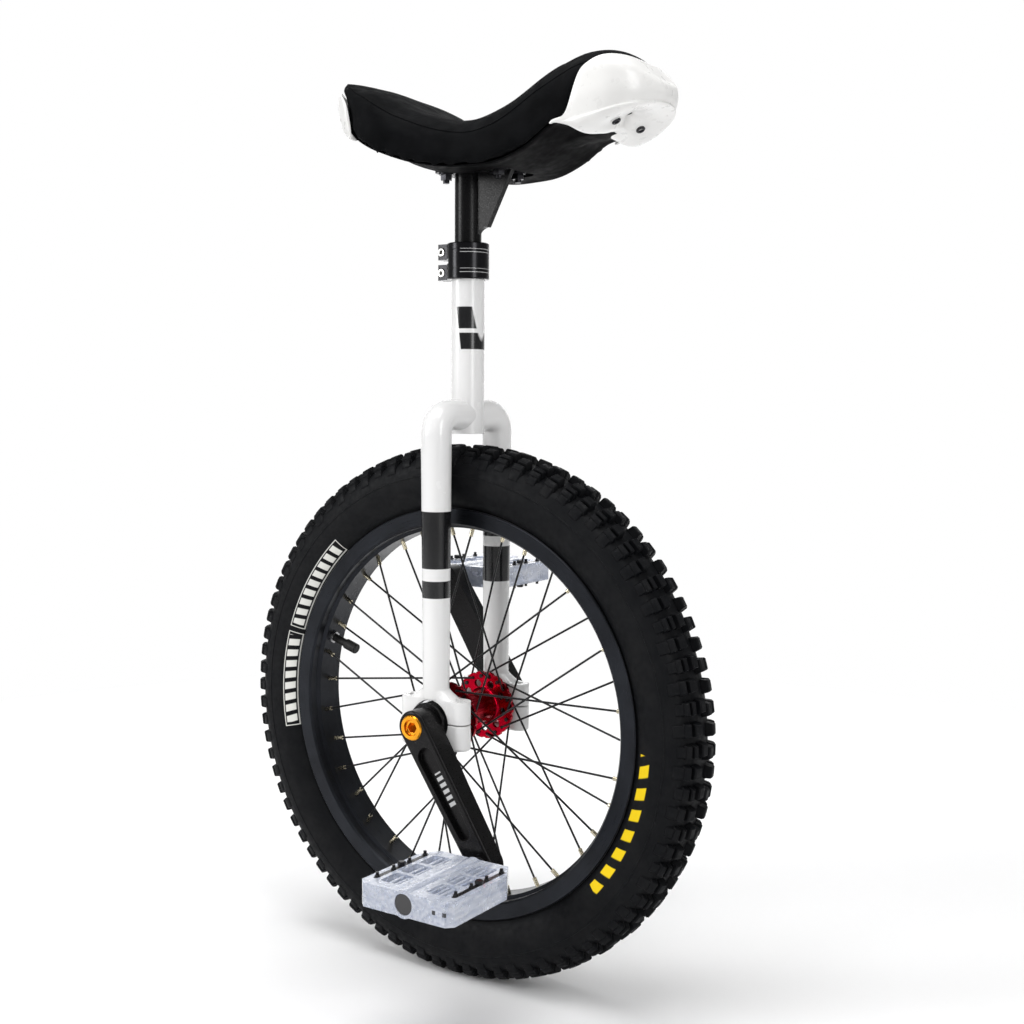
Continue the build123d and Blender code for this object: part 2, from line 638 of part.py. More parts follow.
with BuildPart() as saddle_washers:
    with BuildSketch(Plane.XY.offset(PLATE_TOP - PLATE_THICKNESS - 0.05)):
        with Locations(*SADDLE_BOLTS):
            Circle(WASHER_RADIUS)
            Circle(SADDLE_BOLT_RADIUS + FIT, mode=Mode.SUBTRACT)
    extrude(amount=-WASHER_THICKNESS)
saddle_washers.part.label = "saddle_washers"
export_step(saddle_washers.part.moved(ON_GROUND), "parts/saddle_washers.step")

with BuildPart() as saddle_nuts:
    with BuildSketch(Plane.XY.offset(NUT_TOP)):
        with Locations(*SADDLE_BOLTS):
            RegularPolygon(5.7, 6)
            Circle(SADDLE_BOLT_RADIUS + FIT, mode=Mode.SUBTRACT)
    extrude(amount=-NUT_HEIGHT)
saddle_nuts.part.label = "saddle_nuts"
export_step(saddle_nuts.part.moved(ON_GROUND), "parts/saddle_nuts.step")

rear_screw = hex_screw(1.85, 8.0, 3.5, 2.0, 2.0)
front_screw = hex_screw(1.85, 15.5, 3.5, 2.0, 2.0)
with BuildPart() as bumper_screws:
    for y in (-SCREW_Y, SCREW_Y):
        with Locations((SCREW_X_REAR, y, REAR_BUMPER_BOTTOM - 0.05)):
            add(rear_screw)
        with Locations((SCREW_X_FRONT, y, FRONT_SCREW_SEAT)):
            add(front_screw)
bumper_screws.part.label = "bumper_screws"
export_step(bumper_screws.part.moved(ON_GROUND), "parts/bumper_screws.step")


# ---------------------------------------------------------------- tyre, tube, rim and valve


def wheel_ring(section):
    """Ring turned from a section drawn with x as the radius and y along the axle."""
    with BuildPart() as body:
        with BuildSketch(Plane.XY):
            add(section)
        revolve(axis=Axis.Y)
    return body.part


def mirrored_section(half_lines):
    """Full section from the half on the left side, given as a function that draws its lines."""
    with BuildSketch() as section:
        with BuildLine():
            half_lines()
        make_face()
        mirror(about=Plane.XZ)
    return section.sketch


TYRE_INNER_RADIUS = TYRE_RADIUS - 10.0


def tyre_half():
    """Half of the tyre's section: bead, side wall and crown."""
    half_width = TYRE_WIDTH / 2
    Polyline((BEAD_RADIUS + 4, 15), (BEAD_RADIUS + 0.4, 15), (BEAD_RADIUS + 0.4, 20.3))
    Line((BEAD_RADIUS + 0.4, 20.3), (RIM_RADIUS + 0.8, 20.3))
    Spline(
        (RIM_RADIUS + 0.8, 20.3),
        (RIM_RADIUS + 7, 26),
        (228, half_width),
        (248, 28.5),
        (TYRE_RADIUS, 0),
        tangents=((0.2, 1), (0, -1)),
    )
    Line((TYRE_RADIUS, 0), (TYRE_INNER_RADIUS, 0))
    Spline(
        (TYRE_INNER_RADIUS, 0),
        (242, 23),
        (228, half_width - 3.2),
        (208, 22.5),
        (BEAD_RADIUS + 4, 15),
        tangents=((0, 1), (-0.7, -0.7)),
    )


tyre = wheel_ring(mirrored_section(tyre_half))
tyre.label = "tyre"
export_step(tyre.moved(ON_GROUND), "parts/tyre.step")

TUBE_CENTER = 219.0
TUBE_HEIGHT = 28.5
TUBE_SIDE = 21.0
TUBE_RUBBER = 1.6
VALVE_HOLE_RADIUS = 4.15
VALVE_STEM_RADIUS = 4.0
VALVE_AXIS = wheel_point(VALVE_ANGLE, 1, 0)


def along_valve(radius):
    """Plane square to the valve, at a radius, facing the axle."""
    return Plane(origin=VALVE_AXIS * radius, z_dir=-VALVE_AXIS)


with BuildPart() as inner_tube:
    with BuildSketch(Plane.XY):
        with Locations((TUBE_CENTER, 0)):
            Ellipse(TUBE_HEIGHT, TUBE_SIDE)
            Ellipse(TUBE_HEIGHT - TUBE_RUBBER, TUBE_SIDE - TUBE_RUBBER, mode=Mode.SUBTRACT)
    revolve(axis=Axis.Y)
    with BuildSketch(along_valve(TUBE_CENTER)):
        Circle(1.5)
    extrude(amount=TUBE_HEIGHT + 5, mode=Mode.SUBTRACT)
inner_tube.part.label = "inner_tube"
export_step(inner_tube.part.moved(ON_GROUND), "parts/inner_tube.step")


def rim_half():
    """Half of the rim's section: well, bead seat, edge and the stepped inner face."""
    half = RIM_WIDTH / 2
    well = RIM_BED_RADIUS + RIM_BED_THICKNESS
    Polyline(
        (RIM_BED_RADIUS, 0),
        (RIM_BED_RADIUS, 11),
        (RIM_BED_RADIUS + 3.2, 14),
        (RIM_BED_RADIUS + 3.2, half - 2),
        (RIM_BED_RADIUS + 5, half),
        (RIM_RADIUS - 1, half),
        (RIM_RADIUS, half - 1),
        (RIM_RADIUS, half - 2),
        (RIM_RADIUS - 1.5, half - 3),
        (BEAD_RADIUS, half - 2.8),
        (BEAD_RADIUS, 14.5),
        (BEAD_RADIUS - 2.5, 13),
        (well, 10),
        (well, 0),
        close=True,
    )


class SpokeLine:
    """Where one spoke runs: its flange hole, its elbow and its end in the rim."""

    def __init__(self, side, index):
        outside = index % 2 == 0
        rim_angle = FIRST_SPOKE_ANGLE + 20 * index + (10 if side > 0 else 0)
        hub_angle = rim_angle - SPOKE_CROSSING_ANGLE * (1 if outside else -1)
        elbow_y = FLANGE_CENTER + (4.7 if outside else -2.9)
        head_y = FLANGE_CENTER + (-2.6 if outside else 2.6)
        self.head = wheel_point(hub_angle, SPOKE_HOLE_RADIUS, side * head_y)
        self.elbow = wheel_point(hub_angle, SPOKE_HOLE_RADIUS, side * elbow_y)
        self.end = wheel_point(rim_angle, RIM_BED_RADIUS + 2, side * RIM_HOLE_OFFSET)
        self.direction = (self.end - self.elbow).normalized()
        self.seat = self.end + self.direction * (RIM_BED_THICKNESS - 2)

    def plane(self, distance):
        """Plane across the spoke, at a distance beyond the rim's outer face."""
        return Plane(origin=self.seat + self.direction * distance, z_dir=self.direction)


def spoke_lines(side):
    """The two spokes, one of each lean, that repeat round one side of the wheel."""
    return [SpokeLine(side, index) for index in range(2)]


def round_wheel(piece):
    """Nine copies of a piece, evenly round the axle."""
    return [piece.rotate(Axis.Y, 40 * turn) for turn in range(SPOKE_COUNT // 4)]


def spoke(line):
    """One spoke: head, elbow and straight wire."""
    with BuildPart() as wire:
        with BuildLine():
            path = FilletPolyline(line.head, line.elbow, line.end, radius=1.9)
        with BuildSketch(path ^ 0):
            Circle(SPOKE_RADIUS)
        sweep(path=path)
        with BuildSketch(path ^ 0):
            Circle(1.9)
        extrude(amount=0.9)
    return wire.part


def nipple(line):
    """One nipple: round body towards the hub and a wider head outside the rim bed."""
    with BuildPart() as body:
        with BuildSketch(line.plane(-12)):
            Circle(NIPPLE_RADIUS)
        extrude(amount=12.9)
        with BuildSketch(line.plane(0.8)):
            Circle(NIPPLE_HEAD_RADIUS)
        extrude(amount=2.0)
        with BuildSketch(line.plane(-12)):
            Circle(SPOKE_RADIUS + FIT)
        extrude(amount=16, mode=Mode.SUBTRACT)
    return body.part


for name, side in SIDES.items():
    with BuildPart() as spokes:
        for line in spoke_lines(side):
            add(round_wheel(spoke(line)))
    spokes.part.label = f"{name}_spokes"
    export_step(spokes.part.moved(ON_GROUND), f"parts/{name}_spokes.step")

with BuildPart() as spoke_nipples:
    for side in SIDES.values():
        for line in spoke_lines(side):
            add(round_wheel(nipple(line)))
spoke_nipples.part.label = "spoke_nipples"
export_step(spoke_nipples.part.moved(ON_GROUND), "parts/spoke_nipples.step")

with BuildPart() as nipple_holes:
    for side in SIDES.values():
        for line in spoke_lines(side):
            with BuildPart(mode=Mode.PRIVATE) as hole:
                with BuildSketch(line.plane(-10)):
                    Circle(NIPPLE_RADIUS + 0.15)
                extrude(amount=20)
            add(round_wheel(hole.part))

with BuildPart() as rim:
    add(wheel_ring(mirrored_section(rim_half)))
    add(nipple_holes.part, mode=Mode.SUBTRACT)
    with BuildSketch(along_valve(RIM_BED_RADIUS + 10)):
        Circle(VALVE_HOLE_RADIUS)
    extrude(amount=20, mode=Mode.SUBTRACT)
rim.part.label = "rim"
export_step(rim.part.moved(ON_GROUND), "parts/rim.step")

RIM_TAPE_RADIUS = RIM_BED_RADIUS + RIM_BED_THICKNESS + 4.6

with BuildPart() as rim_tape:
    with BuildSketch(Plane.XY):
        with Locations((RIM_TAPE_RADIUS, 0)):
            Rectangle(0.7, 21)
    revolve(axis=Axis.Y)
    with BuildSketch(along_valve(RIM_TAPE_RADIUS + 5)):
        Circle(VALVE_HOLE_RADIUS)
    extrude(amount=10, mode=Mode.SUBTRACT)
rim_tape.part.label = "rim_tape"
export_step(rim_tape.part.moved(ON_GROUND), "parts/rim_tape.step")

VALVE_TIP_RADIUS = 150.0

with BuildPart() as valve_stem:
    with BuildSketch(along_valve(TUBE_CENTER - TUBE_HEIGHT - 0.8)):
        Circle(VALVE_STEM_RADIUS)
    extrude(amount=TUBE_CENTER - TUBE_HEIGHT - 0.8 - VALVE_TIP_RADIUS)
    with BuildSketch(along_valve(TUBE_CENTER)):
        Circle(1.5)
    extrude(amount=100, mode=Mode.SUBTRACT)
valve_stem.part.label = "valve_stem"
export_step(valve_stem.part.moved(ON_GROUND), "parts/valve_stem.step")

with BuildPart() as valve_nut:
    with BuildSketch(along_valve(RIM_BED_RADIUS - 0.1)):
        RegularPolygon(6.5, 6)
        Circle(VALVE_STEM_RADIUS + FIT, mode=Mode.SUBTRACT)
    extrude(amount=2.5)
valve_nut.part.label = "valve_nut"
export_step(valve_nut.part.moved(ON_GROUND), "parts/valve_nut.step")

with BuildPart() as valve_cap:
    with BuildSketch(along_valve(VALVE_TIP_RADIUS + 12)):
        Circle(VALVE_STEM_RADIUS + 1.3)
    extrude(amount=15)
    fillet(valve_cap.edges().filter_by(GeomType.CIRCLE), 1.0)
    with BuildSketch(along_valve(VALVE_TIP_RADIUS + 12)):
        Circle(VALVE_STEM_RADIUS + FIT)
    extrude(amount=12.2, mode=Mode.SUBTRACT)
valve_cap.part.label = "valve_cap"
export_step(valve_cap.part.moved(ON_GROUND), "parts/valve_cap.step")


# ---------------------------------------------------------------- hub, spindle and bearings


def hub_half():
    """Half of the hub shell's section: barrel, flare and spoke flange."""
    inner_face = FLANGE_CENTER - FLANGE_THICKNESS / 2
    outer_face = FLANGE_CENTER + FLANGE_THICKNESS / 2
    bore = SPINDLE_RADIUS + FIT
    Polyline((bore, 0), (HUB_BARREL_RADIUS, 0), (HUB_BARREL_RADIUS, inner_face - 7))
    ThreePointArc(
        (HUB_BARREL_RADIUS, inner_face - 7),
        (HUB_BARREL_RADIUS + 0.8, inner_face - 1.9),
        (HUB_BARREL_RADIUS + 3, inner_face),
    )
    Polyline(
        (HUB_BARREL_RADIUS + 3, inner_face),
        (FLANGE_RADIUS, inner_face),
        (FLANGE_RADIUS, outer_face),
        (HUB_BARREL_RADIUS + 1, outer_face),
        (HUB_BARREL_RADIUS - 1, outer_face + 2.5),
        (HUB_BARREL_RADIUS - 1, outer_face + 7),
        (bore, outer_face + 7),
        (bore, 0),
    )


with BuildPart() as hub_shell:
    add(wheel_ring(mirrored_section(hub_half)))
    # nine round windows and eighteen spoke holes in each flange
    for side in SIDES.values():
        with BuildSketch(side_plane(side, FLANGE_CENTER - FLANGE_THICKNESS)):
            with PolarLocations(22.2, 9, start_angle=10):
                Circle(3.9)
            with PolarLocations(FLANGE_RADIUS + 1.9, 18, start_angle=10):
                Circle(3.0)
        extrude(amount=2 * FLANGE_THICKNESS, mode=Mode.SUBTRACT)
        holes_start = 90 - FIRST_SPOKE_ANGLE - (10 if side > 0 else 0)
        with BuildSketch(Plane.XZ):
            with PolarLocations(SPOKE_HOLE_RADIUS, 18, start_angle=holes_start):
                Circle(1.6)
        extrude(amount=-side * FLANGE_CENTER * 1.2, mode=Mode.SUBTRACT)
hub_shell.part.label = "hub_shell"
export_step(hub_shell.part.moved(ON_GROUND), "parts/hub_shell.step")


def spline_sketch(growth):
    """Ten-tooth spline across the spindle's end, larger by the growth."""
    with BuildSketch() as section:
        Circle(9.4 + growth)
        with PolarLocations(0, SPLINE_TEETH):
            with Locations((9.7, 0)):
                Rectangle(1.8 + 2 * growth, 2.6 + 2 * growth)
    return section.sketch


SPLINE_START = 57.0

with BuildPart() as hub_spindle:
    with BuildSketch(Plane.XZ):
        Circle(SPINDLE_RADIUS)
    extrude(amount=SPLINE_START, both=True)
    for side in SIDES.values():
        with BuildSketch(crank_plane(side, SPLINE_START)):
            add(spline_sketch(0))
        extrude(amount=SPINDLE_END - SPLINE_START)
        with BuildSketch(side_plane(side, SPINDLE_END)):
            Circle(6.0)
        extrude(amount=-30, mode=Mode.SUBTRACT)
hub_spindle.part.label = "hub_spindle"
export_step(hub_spindle.part.moved(ON_GROUND), "parts/hub_spindle.step")


def bearing_race(inner, outer, side):
    """One ring of a ball bearing, with its ball groove."""
    start = BEARING_CENTER - BEARING_WIDTH / 2
    with BuildPart() as race:
        add(ring(inner, outer, start, start + BEARING_WIDTH, side))
        with BuildSketch(Plane.XY):
            with Locations((BALL_PITCH_RADIUS, side * BEARING_CENTER)):
                Circle(BALL_RADIUS + RUNNING_FIT)
        revolve(axis=Axis.Y, mode=Mode.SUBTRACT)
        chamfer(race.edges().filter_by(GeomType.CIRCLE).group_by(SortBy.RADIUS)[-1], 0.5)
    return race.part


for name, side in SIDES.items():
    with BuildPart() as outer_ring:
        add(bearing_race(18.2, BEARING_OUTER_RADIUS, side))
    outer_ring.part.label = f"{name}_bearing_outer_ring"
    export_step(outer_ring.part.moved(ON_GROUND), f"parts/{name}_bearing_outer_ring.step")

    with BuildPart() as inner_ring:
        add(bearing_race(SPINDLE_RADIUS + FIT, 13.8, side))
    inner_ring.part.label = f"{name}_bearing_inner_ring"
    export_step(inner_ring.part.moved(ON_GROUND), f"parts/{name}_bearing_inner_ring.step")

    with BuildPart() as balls:
        with Locations(side_plane(side, BEARING_CENTER)):
            with PolarLocations(BALL_PITCH_RADIUS, BALL_COUNT):
                Sphere(BALL_RADIUS)
    balls.part.label = f"{name}_bearing_balls"
    export_step(balls.part.moved(ON_GROUND), f"parts/{name}_bearing_balls.step")

    with BuildPart() as cage:
        add(ring(15.1, 16.9, BEARING_CENTER - 4.2, BEARING_CENTER + 4.2, side))
        with Locations(side_plane(side, BEARING_CENTER)):
            with PolarLocations(BALL_PITCH_RADIUS, BALL_COUNT):
                Cylinder(BALL_RADIUS + 0.1, 8, rotation=(0, 90, 0), mode=Mode.SUBTRACT)
    cage.part.label = f"{name}_bearing_cage"
    export_step(cage.part.moved(ON_GROUND), f"parts/{name}_bearing_cage.step")

    with BuildPart() as seals:
        for start in (BEARING_CENTER - 5.9, BEARING_CENTER + 5.1):
            add(ring(13.9, 18.15, start, start + 0.8, side))
    seals.part.label = f"{name}_bearing_seals"
    export_step(seals.part.moved(ON_GROUND), f"parts/{name}_bearing_seals.step")

with BuildPart() as crank_spacers:
    for side in SIDES.values():
        add(ring(SPINDLE_RADIUS + FIT, 13.7, BEARING_CENTER + 6.1, CRANK_BOSS_FACE - 0.1, side))
crank_spacers.part.label = "crank_spacers"
export_step(crank_spacers.part.moved(ON_GROUND), "parts/crank_spacers.step")


# ---------------------------------------------------------------- cranks

HEAD_SEAT = 84.0
BOLT_HEAD_RADIUS = 11.9


for name, side in SIDES.items():
    body_start = CRANK_OUTER_FACE - CRANK_BODY_THICKNESS
    with BuildPart() as crank:
        with BuildSketch(crank_plane(side, body_start)):
            with BuildLine():
                CenterArc((0, 0), 15.5, 0, 360)
                CenterArc((CRANK_LENGTH, 0), 13.5, 0, 360)
            make_hull()
        extrude(amount=CRANK_BODY_THICKNESS)
        # the inner face slopes outward towards the pedal
        across = crank_direction(side).cross(Vector(0, side, 0))
        with BuildSketch(Plane(origin=(0, 0, 0), x_dir=crank_direction(side), z_dir=across)):
            with BuildLine():
                Polyline(
                    (30, body_start - 1),
                    (30, body_start),
                    (70, body_start + 2),
                    (CRANK_LENGTH + 20, body_start + 4.5),
                    (CRANK_LENGTH + 20, body_start - 1),
                    close=True,
                )
            make_face()
        extrude(amount=30, both=True, mode=Mode.SUBTRACT)
        outer_face = crank.faces().sort_by(Axis.Y)[0 if side < 0 else -1]
        fillet(outer_face.edges(), 2.6)
        with BuildSketch(crank_plane(side, CRANK_BOSS_FACE)):
            Circle(19.0)
        extrude(amount=body_start - CRANK_BOSS_FACE)
        chamfer(crank.faces().sort_by(Axis.Y)[-1 if side < 0 else 0].edges(), 1.0)
        # long pocket in the outer face
        with BuildSketch(crank_plane(side, CRANK_OUTER_FACE)):
            with BuildLine():
                CenterArc((31, 0), 9.5, 0, 360)
                CenterArc((107, 0), 7.0, 0, 360)
            make_hull()
        extrude(amount=-5.0, mode=Mode.SUBTRACT)
        with BuildSketch(crank_plane(side, CRANK_BOSS_FACE)):
            add(spline_sketch(0.05))
        extrude(amount=SPINDLE_END + 0.5 - CRANK_BOSS_FACE, mode=Mode.SUBTRACT)
        with BuildSketch(crank_plane(side, SPINDLE_END)):
            Circle(7.5)
        extrude(amount=20, mode=Mode.SUBTRACT)
        with BuildSketch(crank_plane(side, HEAD_SEAT)):
            Circle(BOLT_HEAD_RADIUS + 0.25)
        extrude(amount=20, mode=Mode.SUBTRACT)
        with BuildSketch(crank_plane(side, body_start)):
            with Locations((CRANK_LENGTH, 0)):
                Circle(7.2)
        extrude(amount=CRANK_BODY_THICKNESS + 5, mode=Mode.SUBTRACT)
    crank.part.label = f"{name}_crank"
    export_step(crank.part.moved(ON_GROUND), f"parts/{name}_crank.step")

HEAD_OUTER = CRANK_OUTER_FACE + 1.6

with BuildPart() as crank_bolts:
    for side in SIDES.values():
        with BuildSketch(side_plane(side, HEAD_SEAT + 0.05)):
            Circle(BOLT_HEAD_RADIUS)
        extrude(amount=HEAD_OUTER - HEAD_SEAT - 0.05)
        chamfer(crank_bolts.faces().sort_by(Axis.Y)[0 if side < 0 else -1].edges(), 1.2)
        with BuildSketch(side_plane(side, HEAD_OUTER)):
            Circle(7.6)
        extrude(amount=-2.6, taper=20, mode=Mode.SUBTRACT)
        with BuildSketch(side_plane(side, SPINDLE_END - 24)):
            Circle(5.95)
        extrude(amount=HEAD_SEAT + 0.1 - SPINDLE_END + 24)
        with BuildSketch(side_plane(side, HEAD_OUTER)):
            RegularPolygon(5.2, 6)
        extrude(amount=-8.5, mode=Mode.SUBTRACT)
crank_bolts.part.label = "crank_bolts"
export_step(crank_bolts.part.moved(ON_GROUND), "parts/crank_bolts.step")


# ---------------------------------------------------------------- pedals

BUSH_START = PEDAL_INNER + 3
BEARING_START = PEDAL_OUTER - 24
NUT_START = PEDAL_OUTER - 15.5
CAP_START = PEDAL_OUTER - 5
CAP_RADIUS = 9.15
STRIP_THICKNESS = 1.2
STRIP_WIDTH = 5.0
STRIP_LENGTH = 3 * PIN_PITCH + 8
PIN_RADIUS = 1.5
PIN_HEIGHT = 4.2
PIN_BASE_RADIUS = 2.5
PIN_BASE_HEIGHT = 1.6
BARREL_RADIUS = 12.0
WINDOW_X = 24.5
WINDOW_PITCH = 27.5
WINDOW_LENGTH = 20.0
WINDOW_WIDTH = 23.0
BRACE_ANGLE = 48.0
BRACE_LENGTH = 32.0
BRACE_WIDTH = 2.6


def pedal_plane(side, y):
    """Plane square to the pedal's axle, facing outward, centred on the axle."""
    center = crank_direction(side) * CRANK_LENGTH
    return side_plane(side, y, center.X, center.Z)


def pedal_top(side, y):
    """Horizontal plane through the pedal's axle, at y from the wheel's middle."""
    center = crank_direction(side) * CRANK_LENGTH
    return Plane(origin=(center.X, side * y, center.Z), x_dir=(1, 0, 0), z_dir=(0, 0, 1))


def pin_places():
    """Places of one row's four pins along the pedal."""
    return [(0, PIN_PITCH * step) for step in (-1.5, -0.5, 0.5, 1.5)]


for name, side in SIDES.items():
    middle_y = (PEDAL_INNER + PEDAL_OUTER) / 2
    width = PEDAL_OUTER - PEDAL_INNER
    middle = pedal_top(side, middle_y)

    with BuildPart() as pedal_body:
        with BuildSketch(middle):
            Rectangle(2 * PEDAL_HALF_LENGTH, width)
            chamfer(vertices().group_by(Axis.Y)[0 if side > 0 else -1], 20, 12)
            chamfer(vertices().group_by(Axis.Y)[-1 if side > 0 else 0], 6)
        extrude(amount=PEDAL_HALF_HEIGHT, both=True)
        # barrel round the axle
        with BuildSketch(pedal_plane(side, PEDAL_INNER)):
            Circle(BARREL_RADIUS)
        extrude(amount=width)
        # open windows between the barrel and the pin rails
        with BuildSketch(middle):
            for x in (-WINDOW_X, WINDOW_X):
                with Locations((x, 0)):
                    with GridLocations(0, WINDOW_PITCH, 1, 3):
                        RectangleRounded(WINDOW_LENGTH, WINDOW_WIDTH, 2.5)
        extrude(amount=20, both=True, mode=Mode.SUBTRACT)
        # diagonal brace across each window
        for x in (-WINDOW_X, WINDOW_X):
            turn = BRACE_ANGLE if x * side > 0 else -BRACE_ANGLE
            for step in (-WINDOW_PITCH, 0, WINDOW_PITCH):
                with BuildSketch(middle.offset(-1.5)):
                    with Locations(Location((x, step, 0), (0, 0, turn))):
                        Rectangle(BRACE_LENGTH, BRACE_WIDTH)
                extrude(amount=3.0)
        with BuildSketch(pedal_plane(side, PEDAL_INNER)):
            Circle(PEDAL_BORE_RADIUS)
        extrude(amount=width, mode=Mode.SUBTRACT)
        with BuildSketch(pedal_plane(side, CAP_START)):
            Circle(CAP_RADIUS + RUNNING_FIT)
        extrude(amount=10, mode=Mode.SUBTRACT)
        # recesses for the pin strips, top and bottom
        for up in (1, -1):
            with BuildSketch(middle.offset(up * (PEDAL_HALF_HEIGHT - STRIP_THICKNESS))):
                with Locations((-PIN_ROW, 0), (PIN_ROW, 0)):
                    RectangleRounded(STRIP_WIDTH + 0.1, STRIP_LENGTH + 0.1, STRIP_WIDTH / 2)
            extrude(amount=up * 5, mode=Mode.SUBTRACT)
    pedal_body.part.label = f"{name}_pedal_body"
    export_step(pedal_body.part.moved(ON_GROUND), f"parts/{name}_pedal_body.step")

    with BuildPart() as pins:
        for up in (1, -1):
            for x in (-PIN_ROW, PIN_ROW):
                with BuildSketch(middle.offset(up * (PEDAL_HALF_HEIGHT - STRIP_THICKNESS + 0.1))):
                    with Locations((x, 0)):
                        RectangleRounded(STRIP_WIDTH, STRIP_LENGTH, STRIP_WIDTH / 2 - 0.05)
                extrude(amount=up * (STRIP_THICKNESS - 0.1))
                with BuildSketch(middle.offset(up * PEDAL_HALF_HEIGHT)):
                    with Locations((x, 0)):
                        with Locations(*pin_places()):
                            RegularPolygon(PIN_BASE_RADIUS, 6)
                extrude(amount=up * PIN_BASE_HEIGHT)
                with BuildSketch(middle.offset(up * PEDAL_HALF_HEIGHT)):
                    with Locations((x, 0)):
                        with Locations(*pin_places()):
                            Circle(PIN_RADIUS)
                extrude(amount=up * PIN_HEIGHT)
    pins.part.label = f"{name}_pedal_pins"
    export_step(pins.part.moved(ON_GROUND), f"parts/{name}_pedal_pins.step")

    with BuildPart() as spindle:
        for radius, start, end in (
            (7.1, CRANK_OUTER_FACE - 17.5, CRANK_OUTER_FACE + 0.2),
            (9.0, CRANK_OUTER_FACE + 0.2, PEDAL_INNER - 1.2),
            (PEDAL_AXLE_RADIUS, PEDAL_INNER - 1.2, BEARING_START - 0.1),
            (4.0, BEARING_START - 0.1, NUT_START + 7),
        ):
            with BuildSketch(pedal_plane(side, start)):
                Circle(radius)
            extrude(amount=end - start)
        # wrench flats on the collar next to the crank
        for up in (1, -1):
            with BuildSketch(pedal_plane(side, CRANK_OUTER_FACE + 0.7)):
                with Locations((0, up * 12.5)):
                    Rectangle(30, 10)
            extrude(amount=PEDAL_INNER - CRANK_OUTER_FACE - 2.4, mode=Mode.SUBTRACT)
    spindle.part.label = f"{name}_pedal_spindle"
    export_step(spindle.part.moved(ON_GROUND), f"parts/{name}_pedal_spindle.step")

    for piece, inner, start, end in (
        ("bush", PEDAL_AXLE_RADIUS + RUNNING_FIT, BUSH_START, BUSH_START + 22),
        ("bearing", 4.0 + RUNNING_FIT, BEARING_START + 0.1, BEARING_START + 7),
    ):
        with BuildPart() as sleeve:
            with BuildSketch(pedal_plane(side, start)):
                Circle(PEDAL_BORE_RADIUS - FIT)
                Circle(inner, mode=Mode.SUBTRACT)
            extrude(amount=end - start)
        sleeve.part.label = f"{name}_pedal_{piece}"
        export_step(sleeve.part.moved(ON_GROUND), f"parts/{name}_pedal_{piece}.step")

    with BuildPart() as nut:
        with BuildSketch(pedal_plane(side, NUT_START)):
            RegularPolygon(7.0, 6)
            Circle(4.0 + FIT, mode=Mode.SUBTRACT)
        extrude(amount=5.5)
    nut.part.label = f"{name}_pedal_nut"
    export_step(nut.part.moved(ON_GROUND), f"parts/{name}_pedal_nut.step")

    with BuildPart() as end_cap:
        with BuildSketch(pedal_plane(side, CAP_START + 0.1)):
            Circle(CAP_RADIUS)
        extrude(amount=4.4)
        fillet(end_cap.faces().sort_by(Axis.Y)[0 if side < 0 else -1].edges(), 0.8)
    end_cap.part.label = f"{name}_pedal_cap"
    export_step(end_cap.part.moved(ON_GROUND), f"parts/{name}_pedal_cap.step")
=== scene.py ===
import json
from math import atan2, cos, pi, radians, sin, sqrt, tan

import bmesh
import bpy
import numpy as np
from mathutils import Matrix, Vector


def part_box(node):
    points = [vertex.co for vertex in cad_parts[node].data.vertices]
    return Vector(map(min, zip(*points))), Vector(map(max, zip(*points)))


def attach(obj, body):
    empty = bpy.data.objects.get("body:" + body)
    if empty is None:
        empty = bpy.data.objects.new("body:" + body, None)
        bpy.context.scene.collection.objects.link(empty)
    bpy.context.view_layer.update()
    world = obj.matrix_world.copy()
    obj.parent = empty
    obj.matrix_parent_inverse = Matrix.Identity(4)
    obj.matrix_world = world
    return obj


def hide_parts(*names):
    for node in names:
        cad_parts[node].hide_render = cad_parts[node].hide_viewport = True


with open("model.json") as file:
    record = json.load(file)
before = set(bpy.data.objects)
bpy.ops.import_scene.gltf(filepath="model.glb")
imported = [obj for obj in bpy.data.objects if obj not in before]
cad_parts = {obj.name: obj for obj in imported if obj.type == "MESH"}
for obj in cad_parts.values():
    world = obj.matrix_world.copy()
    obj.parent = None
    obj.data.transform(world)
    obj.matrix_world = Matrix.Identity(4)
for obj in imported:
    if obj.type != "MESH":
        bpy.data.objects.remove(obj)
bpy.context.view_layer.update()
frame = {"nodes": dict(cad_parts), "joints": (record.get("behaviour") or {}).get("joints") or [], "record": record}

# The looks of a 20 inch trials unicycle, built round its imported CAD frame.
# Lengths in this file are metres unless a name ends in _mm. +X is forward, +Y the rider's left.

NODES = frame["nodes"]
JOINTS = {joint["name"]: joint for joint in frame["joints"]}
MM = 0.001
RIGHT, LEFT = -1, 1
SIDE_NAMES = {RIGHT: "right", LEFT: "left"}

AXLE = Vector(JOINTS["wheel_spin"]["pos_m"])


# ---------------------------------------------------------------- mesh helpers


def new_object(name, points, faces, sharp_degrees=None):
    """Mesh object from points in metres; edges sharper than the angle stay crisp."""
    mesh = bpy.data.meshes.new(name)
    mesh.from_pydata([tuple(p) for p in points], [], faces)
    mesh.validate()
    mesh.update()
    shade(mesh, sharp_degrees)
    obj = bpy.data.objects.new(name, mesh)
    bpy.context.scene.collection.objects.link(obj)
    return obj


def shade(mesh, sharp_degrees):
    """Smooth shading, or flat with no angle."""
    if sharp_degrees is None:
        mesh.shade_flat()
        return
    mesh.shade_smooth()
    mesh.set_sharp_from_angle(angle=radians(sharp_degrees))


def give(obj, material):
    """The object's only material."""
    obj.data.materials.clear()
    obj.data.materials.append(material)
    return obj


